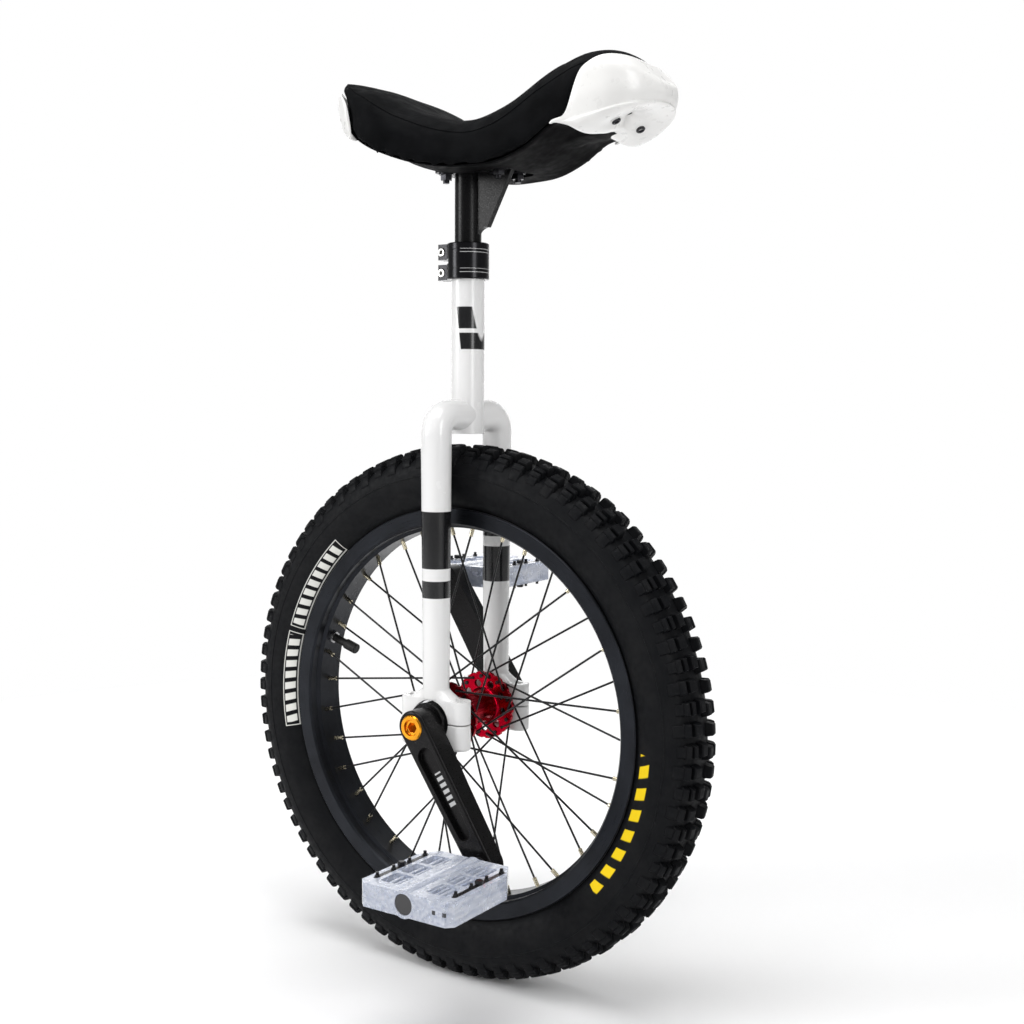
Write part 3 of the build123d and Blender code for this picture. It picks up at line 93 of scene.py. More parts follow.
class Mesh:
    """Points and faces collected from many small shapes."""

    def __init__(self):
        self.points = []
        self.faces = []

    def grid(self, rows, close_rows=False, close_columns=False, flip=False):
        """Quads between rows of points, each row the same length."""
        start = len(self.points)
        height, width = len(rows), len(rows[0])
        for row in rows:
            self.points.extend(row)
        for i in range(height if close_rows else height - 1):
            for j in range(width if close_columns else width - 1):
                a = start + i * width + j
                b = start + i * width + (j + 1) % width
                c = start + (i + 1) % height * width + (j + 1) % width
                d = start + (i + 1) % height * width + j
                self.faces.append((a, d, c, b) if flip else (a, b, c, d))
        return start

    def cap(self, first, count, flip=False):
        """One face over a run of points."""
        loop = list(range(first, first + count))
        self.faces.append(loop[::-1] if flip else loop)

    def object(self, name, sharp_degrees=None):
        return new_object(name, self.points, self.faces, sharp_degrees)


# ---------------------------------------------------------------- material helpers


class Paint:
    """A node material with one Principled shader, built up by short calls."""

    NAMES = {"specular": "Specular IOR Level", "ior": "IOR"}

    def __init__(self, name, color, roughness, metallic=0.0, **inputs):
        self.material = bpy.data.materials.new(name)
        self.material.use_nodes = True
        self.tree = self.material.node_tree
        self.tree.nodes.clear()
        self.output = self.tree.nodes.new("ShaderNodeOutputMaterial")
        self.shader = self.tree.nodes.new("ShaderNodeBsdfPrincipled")
        self.tree.links.new(self.shader.outputs[0], self.output.inputs[0])
        self.set(**{"Base Color": (*color, 1), "Roughness": roughness, "Metallic": metallic})
        self.set(**{self.NAMES.get(key, key.replace("_", " ").title()): value for key, value in inputs.items()})
        self.place = self.node("ShaderNodeTexCoord").outputs["Object"]

    def node(self, kind, **settings):
        made = self.tree.nodes.new(kind)
        for key, value in settings.items():
            setattr(made, key, value)
        return made

    def feed(self, socket, value):
        """Links a socket, or sets a plain value."""
        if isinstance(value, bpy.types.NodeSocket):
            self.tree.links.new(value, socket)
        else:
            socket.default_value = value

    def set(self, **values):
        for key, value in values.items():
            self.feed(self.shader.inputs[key], value)
        return self

    def math(self, operation, a, b=0.0, clamp=False):
        made = self.node("ShaderNodeMath", operation=operation, use_clamp=clamp)
        self.feed(made.inputs[0], a)
        self.feed(made.inputs[1], b)
        return made.outputs[0]

    def product(self, *values):
        total = values[0]
        for value in values[1:]:
            total = self.math("MULTIPLY", total, value)
        return total

    def either(self, *values):
        total = values[0]
        for value in values[1:]:
            total = self.math("MAXIMUM", total, value)
        return total

    def step(self, value, start, end, low=0.0, high=1.0):
        """Straight ramp from low at start to high at end, held outside them."""
        made = self.node("ShaderNodeMapRange")
        for socket, given in zip(made.inputs, (value, start, end, low, high)):
            self.feed(socket, given)
        return made.outputs[0]

    def band(self, value, low, high, soft=0.0003):
        """1 between low and high, with soft edges."""
        rise = self.step(value, low - soft, low + soft)
        fall = self.step(value, high - soft, high + soft, 1.0, 0.0)
        return self.math("MULTIPLY", rise, fall)

    def axes(self, place=None):
        made = self.node("ShaderNodeSeparateXYZ")
        self.feed(made.inputs[0], place or self.place)
        return made.outputs[0], made.outputs[1], made.outputs[2]

    def stretched(self, scale):
        """The object's coordinates, scaled by three factors."""
        made = self.node("ShaderNodeMapping")
        self.feed(made.inputs["Vector"], self.place)
        made.inputs["Scale"].default_value = scale
        return made.outputs[0]

    def noise(self, scale, detail=3.0, roughness=0.5, place=None):
        made = self.node("ShaderNodeTexNoise")
        self.feed(made.inputs["Vector"], place or self.place)
        self.feed(made.inputs["Scale"], scale)
        self.feed(made.inputs["Detail"], detail)
        self.feed(made.inputs["Roughness"], roughness)
        return made.outputs[0]

    def cells(self, scale, feature="F1", place=None):
        made = self.node("ShaderNodeTexVoronoi", feature=feature)
        self.feed(made.inputs["Vector"], place or self.place)
        self.feed(made.inputs["Scale"], scale)
        return made.outputs["Distance"]

    def mix(self, share, a, b):
        made = self.node("ShaderNodeMix", data_type="RGBA")
        self.feed(made.inputs[0], share)
        for socket, color in ((made.inputs[6], a), (made.inputs[7], b)):
            self.feed(socket, color if isinstance(color, bpy.types.NodeSocket) else (*color, 1))
        return made.outputs[2]

    def bump(self, height, distance, strength=1.0, normal=None):
        made = self.node("ShaderNodeBump")
        made.inputs["Distance"].default_value = distance
        made.inputs["Strength"].default_value = strength
        self.feed(made.inputs["Height"], height)
        if normal is not None:
            self.feed(made.inputs["Normal"], normal)
        return made.outputs[0]

    def round_edges(self, radius):
        made = self.node("ShaderNodeBevel", samples=4)
        made.inputs["Radius"].default_value = radius
        return made.outputs[0]

    def wheel_polar(self):
        """Radius from the axle in metres and angle in degrees, from the top towards the front."""
        x, _, z = self.axes()
        up = self.math("SUBTRACT", z, AXLE.z)
        radius = self.math("SQRT", self.math("ADD", self.math("POWER", x, 2.0), self.math("POWER", up, 2.0)))
        angle = self.math("MULTIPLY", self.math("ARCTAN2", x, up), 180 / pi)
        return radius, angle


# ---------------------------------------------------------------- materials


def frame_paint():
    """White gloss powder coat with plain black bands on the legs and the seat tube."""
    m = Paint("frame_paint", (0.8, 0.8, 0.8), 0.22, coat_weight=0.2, coat_roughness=0.08)
    x, y, z = m.axes()
    z = m.math("SUBTRACT", z, AXLE.z)
    below_tube = m.step(z, 0.25, 0.251, 1.0, 0.0)
    right = m.product(m.step(y, -0.031, -0.030, 1.0, 0.0), below_tube)
    left = m.product(m.step(y, 0.030, 0.031), below_tube)
    right_bands = m.either(m.band(z, 0.1174, 0.1335), m.band(z, 0.1450, 0.1985))
    left_bands = m.either(m.band(z, 0.1230, 0.1580), m.band(z, 0.168, 0.176))
    tube = m.product(m.step(z, 0.30, 0.301), m.band(m.math("ADD", x, m.math("MULTIPLY", z, 0.12)), 0.045, 0.059))
    tube_marks = m.product(tube, m.either(m.band(z, 0.350, 0.3655), m.band(z, 0.3695, 0.390)))
    black = m.either(m.product(right, right_bands), m.product(left, left_bands), tube_marks)
    clouds = m.step(m.noise(9.0), 0.35, 0.75)
    white = m.mix(clouds, (0.82, 0.815, 0.81), (0.77, 0.77, 0.77))
    m.set(**{"Base Color": m.mix(black, white, (0.006, 0.006, 0.007))})
    m.set(Roughness=m.step(m.noise(60.0), 0.3, 0.7, 0.18, 0.28))
    m.set(Normal=m.bump(m.noise(420.0, 2.0), 0.00006, 0.5, m.round_edges(0.0006)))
    return m.material


def worn_metal(name, color, roughness, edge=0.0003, grain=900.0, metallic=1.0, spread=0.25, **inputs):
    """Metal with fine grain in its gloss and softly rounded edges."""
    m = Paint(name, color, roughness, metallic, **inputs)
    patches = m.step(m.noise(45.0, 4.0), 0.35, 0.7)
    darker = tuple(c * 0.75 for c in color)
    m.set(**{"Base Color": m.mix(patches, color, darker)})
    fine = m.noise(grain, 3.0)
    m.set(Roughness=m.step(fine, 0.3, 0.7, roughness * (1 - spread), roughness * (1 + spread)))
    m.set(Normal=m.bump(fine, 0.00003, 0.4, m.round_edges(edge)))
    return m


def turned_metal(name, color, roughness, pitch=0.0006, **inputs):
    """Metal turned on a lathe round the axle, with fine rings."""
    m = Paint(name, color, roughness, 1.0, **inputs)
    radius, _ = m.wheel_polar()
    _, y, _ = m.axes()
    along = m.math("ADD", radius, m.math("MULTIPLY", y, 0.7))
    rings = m.math("SINE", m.math("MULTIPLY", along, 2 * pi / pitch))
    uneven = m.noise(300.0, 3.0)
    m.set(**{"Base Color": m.mix(m.step(m.noise(60.0), 0.3, 0.7), color, tuple(c * 0.7 for c in color))})
    m.set(Roughness=m.step(uneven, 0.3, 0.7, roughness * 0.8, roughness * 1.3))
    m.set(Normal=m.bump(m.product(rings, uneven), 0.00001, 0.5, m.round_edges(0.0004)))
    return m.material


def plastic(name, color, roughness, grain=700.0, depth=0.00004, edge=0.0004, **inputs):
    """Moulded plastic with a fine grain."""
    m = Paint(name, color, roughness, **inputs)
    m.set(**{"Base Color": m.mix(m.step(m.noise(25.0), 0.3, 0.7), color, tuple(c * 0.88 for c in color))})
    m.set(Roughness=m.step(m.noise(120.0), 0.3, 0.7, roughness * 0.85, roughness * 1.15))
    m.set(Normal=m.bump(m.noise(grain, 2.0), depth, 0.5, m.round_edges(edge) if edge else None))
    return m.material


def tyre_rubber():
    """Black rubber with plain marks on the right side wall: outlined white bars and yellow bars."""
    m = Paint("tyre_rubber", (0.006, 0.006, 0.007), 0.6, specular=0.12)
    radius, angle = m.wheel_polar()
    _, y, _ = m.axes()
    dusty = m.step(m.noise(55.0, 4.0), 0.4, 0.75)
    rubber = m.mix(dusty, (0.0022, 0.0026, 0.0036), (0.006, 0.0062, 0.007))
    outer = m.step(m.math("ABSOLUTE", y), 0.018, 0.019)

    def bars(first, last, low, high, pitch, share, lean):
        turned = m.math("ADD", angle, m.math("MULTIPLY", m.math("SUBTRACT", radius, low), lean))
        saw = m.math("FRACT", m.math("DIVIDE", turned, pitch))
        return m.product(m.band(angle, first, last, 0.06), m.band(radius, low, high), m.band(saw, 0.0, share, 0.03))

    def outline(first, last, low, high, line):
        edge = line / 0.0036
        whole = m.product(m.band(angle, first, last, 0.06), m.band(radius, low, high))
        hole = m.product(m.band(angle, first + edge, last - edge, 0.06), m.band(radius, low + line, high - line))
        return m.math("SUBTRACT", whole, hole, True)

    white = m.either(
        outline(-100.5, -73.0, 0.2015, 0.2155, 0.0008),
        outline(-71.5, -41.5, 0.2015, 0.2155, 0.0008),
        bars(-99.5, -74.0, 0.2035, 0.2135, 3.2, 0.62, 60.0),
        bars(-70.5, -42.5, 0.2035, 0.2135, 3.2, 0.62, 60.0),
    )
    yellow = bars(92.0, 131.0, 0.2060, 0.2170, 5.6, 0.55, 130.0)
    side = m.product(outer, m.step(y, -0.001, 0.001, 1.0, 0.0))
    color = m.mix(m.product(white, side), rubber, (0.72, 0.72, 0.68))
    color = m.mix(m.product(yellow, side), color, (0.85, 0.60, 0.01))
    m.set(**{"Base Color": color})
    m.set(Roughness=m.step(m.noise(200.0), 0.3, 0.7, 0.48, 0.7))
    m.set(Normal=m.bump(m.noise(1100.0, 4.0), 0.00008, 0.6, m.round_edges(0.0004)))
    return m.material


def rim_paint():
    """Black anodised rim, brushed round the wheel."""
    m = Paint("rim_black", (0.02, 0.021, 0.025), 0.32, 0.75)
    radius, angle = m.wheel_polar()
    _, y, _ = m.axes()
    made = m.node("ShaderNodeCombineXYZ")
    for socket, value in zip(made.inputs, (m.math("MULTIPLY", radius, 2500.0), m.math("MULTIPLY", y, 2500.0), m.math("MULTIPLY", angle, 0.15))):
        m.feed(socket, value)
    brushed = m.noise(1.0, 3.0, place=made.outputs[0])
    m.set(Roughness=m.step(brushed, 0.3, 0.7, 0.26, 0.42))
    m.set(**{"Base Color": m.mix(m.step(m.noise(30.0), 0.3, 0.7), (0.008, 0.009, 0.012), (0.015, 0.017, 0.022))})
    m.set(Normal=m.bump(brushed, 0.00001, 0.5, m.round_edges(0.0003)))
    return m.material


def clear_plastic():
    """Milky blue-white polycarbonate with flow streaks along the axle, and two small dark squares painted on the right
    pedal's outboard face as the shade inside its holes.
    """
    m = Paint("pedal_clear", (0.72, 0.77, 0.9), 0.22, transmission_weight=0.42, ior=1.45, coat_weight=0.4)
    streaks = m.noise(1.0, 4.0, place=m.stretched((260.0, 45.0, 260.0)))
    veil = m.step(streaks, 0.35, 0.7)
    low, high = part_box("right_pedal_body")
    x, y, z = m.axes()
    middle = (low[0] + high[0]) / 2
    # Painted shade: two small near-black squares on the right pedal's outboard face stand in for the dark insides of
    # its holes.
    painted_hole_shade = m.either(*(m.band(x, middle + start, middle + start + 0.0035, 0.0001) for start in (0.030, 0.0405)))
    painted_hole_shade = m.product(painted_hole_shade, m.band(z, (low[2] + high[2]) / 2 - 0.0018, (low[2] + high[2]) / 2 + 0.0018, 0.0001))
    painted_hole_shade = m.product(painted_hole_shade, m.step(y, low[1] + 0.001, low[1] + 0.002, 1.0, 0.0))
    milky = m.mix(veil, (0.52, 0.57, 0.70), (0.86, 0.89, 0.97))
    m.set(**{"Base Color": m.mix(painted_hole_shade, milky, (0.01, 0.01, 0.012))})
    m.set(Roughness=m.step(m.noise(150.0), 0.3, 0.7, 0.12, 0.34))
    m.set(Normal=m.bump(streaks, 0.0007, 0.5, m.bump(m.noise(120.0, 3.0), 0.0005, 0.4)))
    return m.material


def crank_paint():
    """Black anodised forging with a run of plain light bars in the right crank's pocket."""
    m = worn_metal("crank_black", (0.014, 0.0135, 0.014), 0.32, 0.0006, 700.0, 0.8)
    pedal = Vector(JOINTS["right_pedal_spin"]["pos_m"]) - AXLE
    reach = Vector((pedal.x, 0, pedal.z)).normalized()
    x, _, z = m.axes()
    up = m.math("SUBTRACT", z, AXLE.z)
    along = m.math("ADD", m.product(x, reach.x), m.product(up, reach.z))
    across = m.math("SUBTRACT", m.product(x, reach.z), m.product(up, reach.x))
    outward = m.axes(m.node("ShaderNodeNewGeometry").outputs["Normal"])[1]
    bars = m.band(m.math("FRACT", m.math("DIVIDE", along, 0.0064)), 0.0, 0.58, 0.03)
    marks = m.product(bars, m.band(along, 0.047, 0.0824), m.band(across, -0.0036, 0.0036))
    marks = m.product(marks, m.step(outward, -0.8, -0.7, 1.0, 0.0))
    m.set(**{"Base Color": m.mix(marks, (0.013, 0.0125, 0.013), (0.62, 0.62, 0.62))})
    m.set(Metallic=m.step(marks, 0.0, 1.0, 0.8, 0.0))
    return m.material


def clamp_paint():
    """Black gloss clamp with fine light lines round the front of its ring."""
    m = worn_metal("clamp_black", (0.007, 0.007, 0.009), 0.22, metallic=0.6)
    x, y, z = m.axes()
    up = m.math("SUBTRACT", z, AXLE.z)
    lines = m.either(*(m.band(up, height, height + 0.0006, 0.0001) for height in (0.4218, 0.4252, 0.4404, 0.4434)))
    front = m.product(m.step(x, 0.004, 0.005), m.step(y, 0.006, 0.008, 1.0, 0.0))
    marks = m.product(lines, front)
    m.set(**{"Base Color": m.mix(marks, (0.007, 0.007, 0.009), (0.5, 0.5, 0.5))})
    m.set(Metallic=m.step(marks, 0.0, 1.0, 0.6, 0.0))
    return m.material


def cover_fabric():
    """Matte black stretch fabric with a fine knit."""
    m = Paint("cushion_black", (0.003, 0.003, 0.004), 0.75, specular=0.05)
    x, y, z = m.axes()
    thread = 2 * pi / 0.0011
    over = m.math("SINE", m.math("MULTIPLY", m.math("ADD", x, m.math("MULTIPLY", z, 0.6)), thread))
    under = m.math("SINE", m.math("MULTIPLY", m.math("SUBTRACT", y, m.math("MULTIPLY", z, 0.8)), thread))
    knit = m.product(over, under)
    m.set(**{"Base Color": m.mix(m.step(m.noise(35.0, 4.0), 0.35, 0.7), (0.0016, 0.0018, 0.0022), (0.0035, 0.0038, 0.0045))})
    m.set(Roughness=m.step(m.noise(80.0), 0.3, 0.7, 0.62, 0.8))
    m.set(Normal=m.bump(knit, 0.00012, 0.5, m.bump(m.noise(70.0, 3.0), 0.0006, 0.25)))
    return m.material


def materials():
    """Every material by the name of the record's slot."""
    return {
        "frame_paint": frame_paint(),
        "black_steel": worn_metal("black_steel", (0.003, 0.003, 0.0035), 0.32, metallic=0.0, specular=0.2).material,
        "clamp_black": clamp_paint(),
        "crank_black": crank_paint(),
        "steel": turned_metal("steel", (0.5, 0.5, 0.51), 0.3),
        "dark_steel": worn_metal("dark_steel", (0.05, 0.05, 0.055), 0.35).material,
        "spoke_black": worn_metal("spoke_black", (0.015, 0.015, 0.016), 0.35, metallic=0.6).material,
        "nipple_brass": worn_metal("nipple_brass", (0.75, 0.68, 0.5), 0.25).material,
        "hub_red": turned_metal("hub_red", (0.42, 0.002, 0.016), 0.2),
        "gold": turned_metal("gold", (1.0, 0.42, 0.03), 0.2),
        "rim_black": rim_paint(),
        "tyre_rubber": tyre_rubber(),
        "tube_rubber": plastic("tube_rubber", (0.008, 0.008, 0.008), 0.6, specular=0.25),
        "valve_black": plastic("valve_black", (0.006, 0.006, 0.006), 0.5, specular=0.3),
        "tape": plastic("tape", (0.08, 0.08, 0.08), 0.8, 2500.0, 0.0001),
        "bearing_steel": turned_metal("bearing_steel", (0.7, 0.7, 0.71), 0.15),
        "seal_rubber": plastic("seal_rubber", (0.015, 0.015, 0.016), 0.55),
        "cage_plastic": plastic("cage_plastic", (0.5, 0.45, 0.33), 0.5),
        "pedal_clear": clear_plastic(),
        "pin_black": worn_metal("pin_black", (0.015, 0.015, 0.016), 0.3, metallic=0.6).material,
        "bronze": worn_metal("bronze", (0.5, 0.36, 0.18), 0.4).material,
        "cap_dark": plastic("cap_dark", (0.035, 0.034, 0.036), 0.4),
        "cushion_black": cover_fabric(),
        "bumper_white": plastic("bumper_white", (0.82, 0.815, 0.8), 0.3, 260.0, 0.00002, None, coat_weight=0.2),
        "base_black": plastic("base_black", (0.002, 0.002, 0.0024), 0.7, specular=0.04),
        "zinc": worn_metal("zinc", (0.6, 0.6, 0.58), 0.3).material,
    }


MATERIALS = materials()
for part in frame["record"]["subparts"]:
    give(NODES[part["node"]], MATERIALS[part["material_slot"]])
for name in ("saddle_bolts", "saddle_washers", "saddle_nuts"):
    give(NODES[name], MATERIALS["dark_steel"])


def finish_piece(piece, body, slot, *nodes):
    """Gives a piece its material and its body, and hides the CAD nodes that it stands for."""
    give(piece, MATERIALS[slot])
    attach(piece, body)
    if nodes:
        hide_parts(*nodes)
    return piece


# ---------------------------------------------------------------- tyre

ROWS = 84
CARCASS_SIDE_MM = ((0, 252.3), (9, 251.8), (18, 249.6), (25.2, 245.2), (29.0, 238), (30.4, 229), (29.4, 217), (25.4, 206.5), (20.3, 200.3))


class Profile:
    """Smooth half section of the tyre, by distance along it from the middle of the tread."""

    def __init__(self, corners_mm):
        corners = np.array(corners_mm, float)
        rough = np.concatenate([[0], np.cumsum(np.linalg.norm(np.diff(corners, axis=0), axis=1))])
        fine = np.linspace(0, rough[-1], 600)
        self.points = self.spline(rough, corners, fine)
        lengths = np.linalg.norm(np.diff(self.points, axis=0), axis=1)
        self.along = np.concatenate([[0], np.cumsum(lengths)])
        self.length = self.along[-1]

    @staticmethod
    def spline(knots, corners, places):
        """Catmull-Rom curve through the corners, level at the first one."""
        first = corners[1] * [-1, 1]
        last = 2 * corners[-1] - corners[-2]
        padded = np.vstack([first, corners, last])
        out = []
        for place in places:
            i = min(np.searchsorted(knots, place, side="right") - 1, len(knots) - 2)
            t = (place - knots[i]) / (knots[i + 1] - knots[i])
            a, b, c, d = padded[i : i + 4]
            out.append(0.5 * (2 * b + (c - a) * t + (2 * a - 5 * b + 4 * c - d) * t**2 + (3 * b - a - 3 * c + d) * t**3))
        return np.array(out)

    def at(self, distance_mm):
        """(y, radius) and the outward normal at a distance along the profile."""
        point = np.array([np.interp(distance_mm, self.along, self.points[:, k]) for k in (0, 1)])
        ahead = np.array([np.interp(distance_mm + 0.5, self.along, self.points[:, k]) for k in (0, 1)])
        behind = np.array([np.interp(distance_mm - 0.5, self.along, self.points[:, k]) for k in (0, 1)])
        along = ahead - behind
        along /= np.linalg.norm(along)
        return point, np.array([-along[1], along[0]])

    def distance_at_y(self, y_mm):
        """Distance along the profile where the tread reaches a y."""
        return float(np.interp(y_mm, self.points[:150, 0], self.along[:150]))


def on_tyre(side, section_point, turn):
    """Point in the row frame from (y, radius) in mm and a turn in radians."""
    y, radius = section_point
    return (radius * MM * sin(turn), side * y * MM, AXLE.z + radius * MM * cos(turn))


def knob(mesh, profile, side, start, end, turn, half_turn, heights, skew=0.0):
    """A tread block with sloping walls, from start to end across the tread.

    heights is its height at each end, and skew turns its inner end round the wheel."""
    wall, edge = 1.3, 0.5
    across = np.array([0, wall * 0.75, wall + edge, 0.5 * (end - start), end - start - wall - edge, end - start - wall * 0.75, end - start])
    rise_across = (-0.6, 0.86, 1.0, 1.0, 1.0, 0.86, -0.6)
    turn_steps = np.array([-1, -0.80, -0.68, 0, 0.68, 0.80, 1])
    rise_round = (-0.6, 0.86, 1.0, 1.0, 1.0, 0.86, -0.6)
    rows = []
    for distance, rise_a in zip(across, rise_across):
        share = distance / (end - start)
        base, normal = profile.at(start + distance)
        height = heights[0] + (heights[1] - heights[0]) * share
        row = []
        for step, rise_b in zip(turn_steps, rise_round):
            rise = min(rise_a, rise_b)
            lifted = base + normal * height * (rise if rise > 0 else 0) + normal * (rise if rise < 0 else 0)
            row.append(on_tyre(side, lifted, turn + step * half_turn + skew * (1 - share)))
        rows.append(row)
    mesh.grid(rows, flip=side < 0)


def carcass(mesh, profile):
    """The smooth tyre under its knobs, with its inner wall, and a thin line round each side wall."""
    outline = []
    for distance in np.linspace(0, profile.length, 46):
        point, normal = profile.at(distance)
        outline.append(point)
    line_at = float(np.interp(-231.5, -profile.points[:, 1], profile.along))
    ridge = [profile.at(line_at + d)[0] + profile.at(line_at + d)[1] * h for d, h in ((-0.9, 0), (-0.45, 0.5), (0.45, 0.5), (0.9, 0))]
    outline = [p for p in outline if not ridge[0][1] > p[1] > ridge[-1][1]]
    where = next(i for i, p in enumerate(outline) if p[1] < ridge[0][1])
    outline[where:where] = ridge
    inner = [(20.3, 193.9), (15, 193.9), (15, 197.5), (22.5, 208), (27.8, 228), (22.5, 242), (12, 248.6), (0, 250)]
    half = [tuple(p) for p in outline] + inner
    section = half + [(-y, r) for y, r in half[-2:0:-1]]
    rows = []
    steps = ROWS * 4
    for i in range(steps):
        rows.append([on_tyre(1, p, 2 * pi * i / steps) for p in section])
    mesh.grid(rows, close_rows=True, close_columns=True)


def build_tyre():
    """Carcass with two alternating rows of knobs."""
    mesh = Mesh()
    profile = Profile(CARCASS_SIDE_MM)
    carcass(mesh, profile)
    pitch = 2 * pi / ROWS
    y_to = profile.distance_at_y
    for row in range(ROWS):
        for side in (RIGHT, LEFT):
            turn = pitch * (row + (0.25 if side > 0 else 0.0))
            even = row % 2 == 0
            shoulder = y_to(24.5)
            if even:
                knob(mesh, profile, side, y_to(20.6), shoulder + 6.5, turn, pitch * 0.38, (7.2, 4.2))
                knob(mesh, profile, side, shoulder + 4.5, shoulder + 15.5, turn, pitch * 0.33, (3.4, 0.15))
                knob(mesh, profile, side, y_to(8.2), y_to(17.6), turn, pitch * 0.34, (7.6, 7.4))
            else:
                knob(mesh, profile, side, y_to(19.6), shoulder + 5.5, turn, pitch * 0.36, (7.2, 4.8))
                knob(mesh, profile, side, shoulder + 3.8, shoulder + 12.0, turn, pitch * 0.30, (3.6, 0.15))
                knob(mesh, profile, side, y_to(13.2), y_to(19.0), turn, pitch * 0.36, (7.4, 7.2))
                knob(mesh, profile, side, y_to(1.0), y_to(10.2), turn, pitch * 0.36, (7.7, 7.6))
    return finish_piece(mesh.object("tyre_tread", 28), "wheel", "tyre_rubber", "tyre")


build_tyre()


# ---------------------------------------------------------------- saddle

# Heights along the saddle in mm above the axle, and half widths in mm, from back to front.
CROWN_MM = ((-125, 588), (-120, 599), (-110, 607), (-75, 594.5), (-20, 567), (20, 558), (65, 570), (115, 597), (150, 608))
CROWN_MM += ((180, 603), (198, 590), (208, 575), (213, 562))
CREASE_DROP_MM = ((-125, 5), (-60, 5), (-20, 7), (16, 12), (45, 20), (80, 23), (150, 20), (190, 10), (218, 2))
LOWER_EDGE_MM = ((-125, 568), (-104, 559), (-86, 549), (-43, 526), (8, 511.5), (38, 510), (74, 513), (100, 523))
LOWER_EDGE_MM += ((123, 537), (150, 541), (173, 546), (192, 552), (207, 556), (218, 559))
LIP_BOTTOM_MM = ((136, 536), (150, 531), (161, 533), (173, 537), (183, 541), (192, 544), (201, 548), (212, 553))
UNDERSIDE_MM = ((136, 536), (150, 537), (190, 545), (212, 553))
KEEL_MM = ((-125, 568), (-86, 550), (-60, 535), (-35, 521.5), (-8, 513.5), (8, 511.5), (38, 512), (52, 515.5), (66, 518.5))
KEEL_MM += ((78, 521.5), (98, 526.5), (123, 533), (150, 536.3), (160, 538))
WAIST_MM = ((-50, 92), (-15, 80), (30, 67.5), (80, 61.5), (150, 60))
REAR_CENTRE_MM, REAR_LENGTH_MM, REAR_HALF_WIDTH_MM = -50, 75, 92
NOSE_CENTRE_MM, NOSE_LENGTH_MM, NOSE_HALF_WIDTH_MM = 150, 62, 60
SPINE_MM = (-88, 168)
SIDE_INSET_MM = ((1.0, 6.0), (1.08, 3.2), (1.2, 1.0), (1.4, 0.0), (1.7, 0.4), (2.0, 3.0))


def smooth_curve(points):
    """Function that runs smoothly through the points and stays level beyond them."""
    xs, ys = np.array(points, float).T
    slopes = np.gradient(ys, xs)

    def value(x):
        x = min(max(x, xs[0]), xs[-1])
        i = min(int(np.searchsorted(xs, x, side="right")) - 1, len(xs) - 2)
        width = xs[i + 1] - xs[i]
        t = (x - xs[i]) / width
        rise = ys[i + 1] - ys[i]
        return ys[i] + rise * (3 - 2 * t) * t**2 + width * t * (1 - t) * (slopes[i] * (1 - t) - slopes[i + 1] * t)

    return value


crown = smooth_curve(CROWN_MM)
crease_drop = smooth_curve(CREASE_DROP_MM)
lower_edge = smooth_curve(LOWER_EDGE_MM)
lip_bottom = smooth_curve(LIP_BOTTOM_MM)
underside = smooth_curve(UNDERSIDE_MM)
keel_bottom = smooth_curve(KEEL_MM)
waist = smooth_curve(WAIST_MM)
side_inset = smooth_curve(SIDE_INSET_MM)


def saddle_outline(count):
    """Evenly spaced points of the saddle's outline from above with outward normals, in mm."""
    half = []
    for angle in np.linspace(pi, pi / 2, 80):
        half.append((REAR_CENTRE_MM + REAR_LENGTH_MM * cos(angle), REAR_HALF_WIDTH_MM * sin(angle)))
    half += [(x, waist(x)) for x in np.linspace(REAR_CENTRE_MM, NOSE_CENTRE_MM, 90)[1:-1]]
    for angle in np.linspace(pi / 2, 0, 70):
        half.append((NOSE_CENTRE_MM + NOSE_LENGTH_MM * cos(angle), NOSE_HALF_WIDTH_MM * sin(angle)))
    loop = np.array(half + [(x, -y) for x, y in half[-2:0:-1]])
    closed = np.vstack([loop, loop[:1]])
    along = np.concatenate([[0], np.cumsum(np.linalg.norm(np.diff(closed, axis=0), axis=1))])
    places = np.linspace(0, along[-1], count, endpoint=False)
    points = np.column_stack([np.interp(places, along, closed[:, k]) for k in (0, 1)])
    tangents = np.roll(points, -1, axis=0) - np.roll(points, 1, axis=0)
    tangents /= np.linalg.norm(tangents, axis=1)[:, None]
    return points, np.column_stack([-tangents[:, 1], tangents[:, 0]])


class SaddleForm:
    """The saddle's outer surface. reach is 0 on the spine, 1 on the crease and 2 on the lower edge."""

    def __init__(self, count=144):
        self.outline, self.normals = saddle_outline(count)
        self.count = count

    def point(self, index, reach, grow=0.0):
        """Point in mm above the axle on one meridian, moved out by grow."""
        edge, normal = self.outline[index], self.normals[index]
        if reach <= 1:
            rim = edge - normal * side_inset(1)
            spine = np.array([min(max(edge[0], SPINE_MM[0]), SPINE_MM[1]), 0])
            flat = spine + (rim - spine) * reach
            height = crown(flat[0]) - crease_drop(flat[0]) * reach**2.6
            return np.array([*(flat + normal * grow * reach**3), height + grow])
        flat = edge - normal * (side_inset(reach) - grow)
        top = crown(edge[0] - normal[0] * 6) - crease_drop(edge[0] - normal[0] * 6)
        share = reach - 1
        height = top + (lower_edge(edge[0]) - top) * share
        return np.array([*flat, height + grow * (1 - 2 * share) * (1 if share < 0.5 else 0)])

    def side_of(self, index):
        return self.outline[index][0]


SADDLE = SaddleForm()


def above_axle(point_mm):
    """Row frame point from mm above the axle."""
    return Vector((point_mm[0] * MM, point_mm[1] * MM, AXLE.z + point_mm[2] * MM))


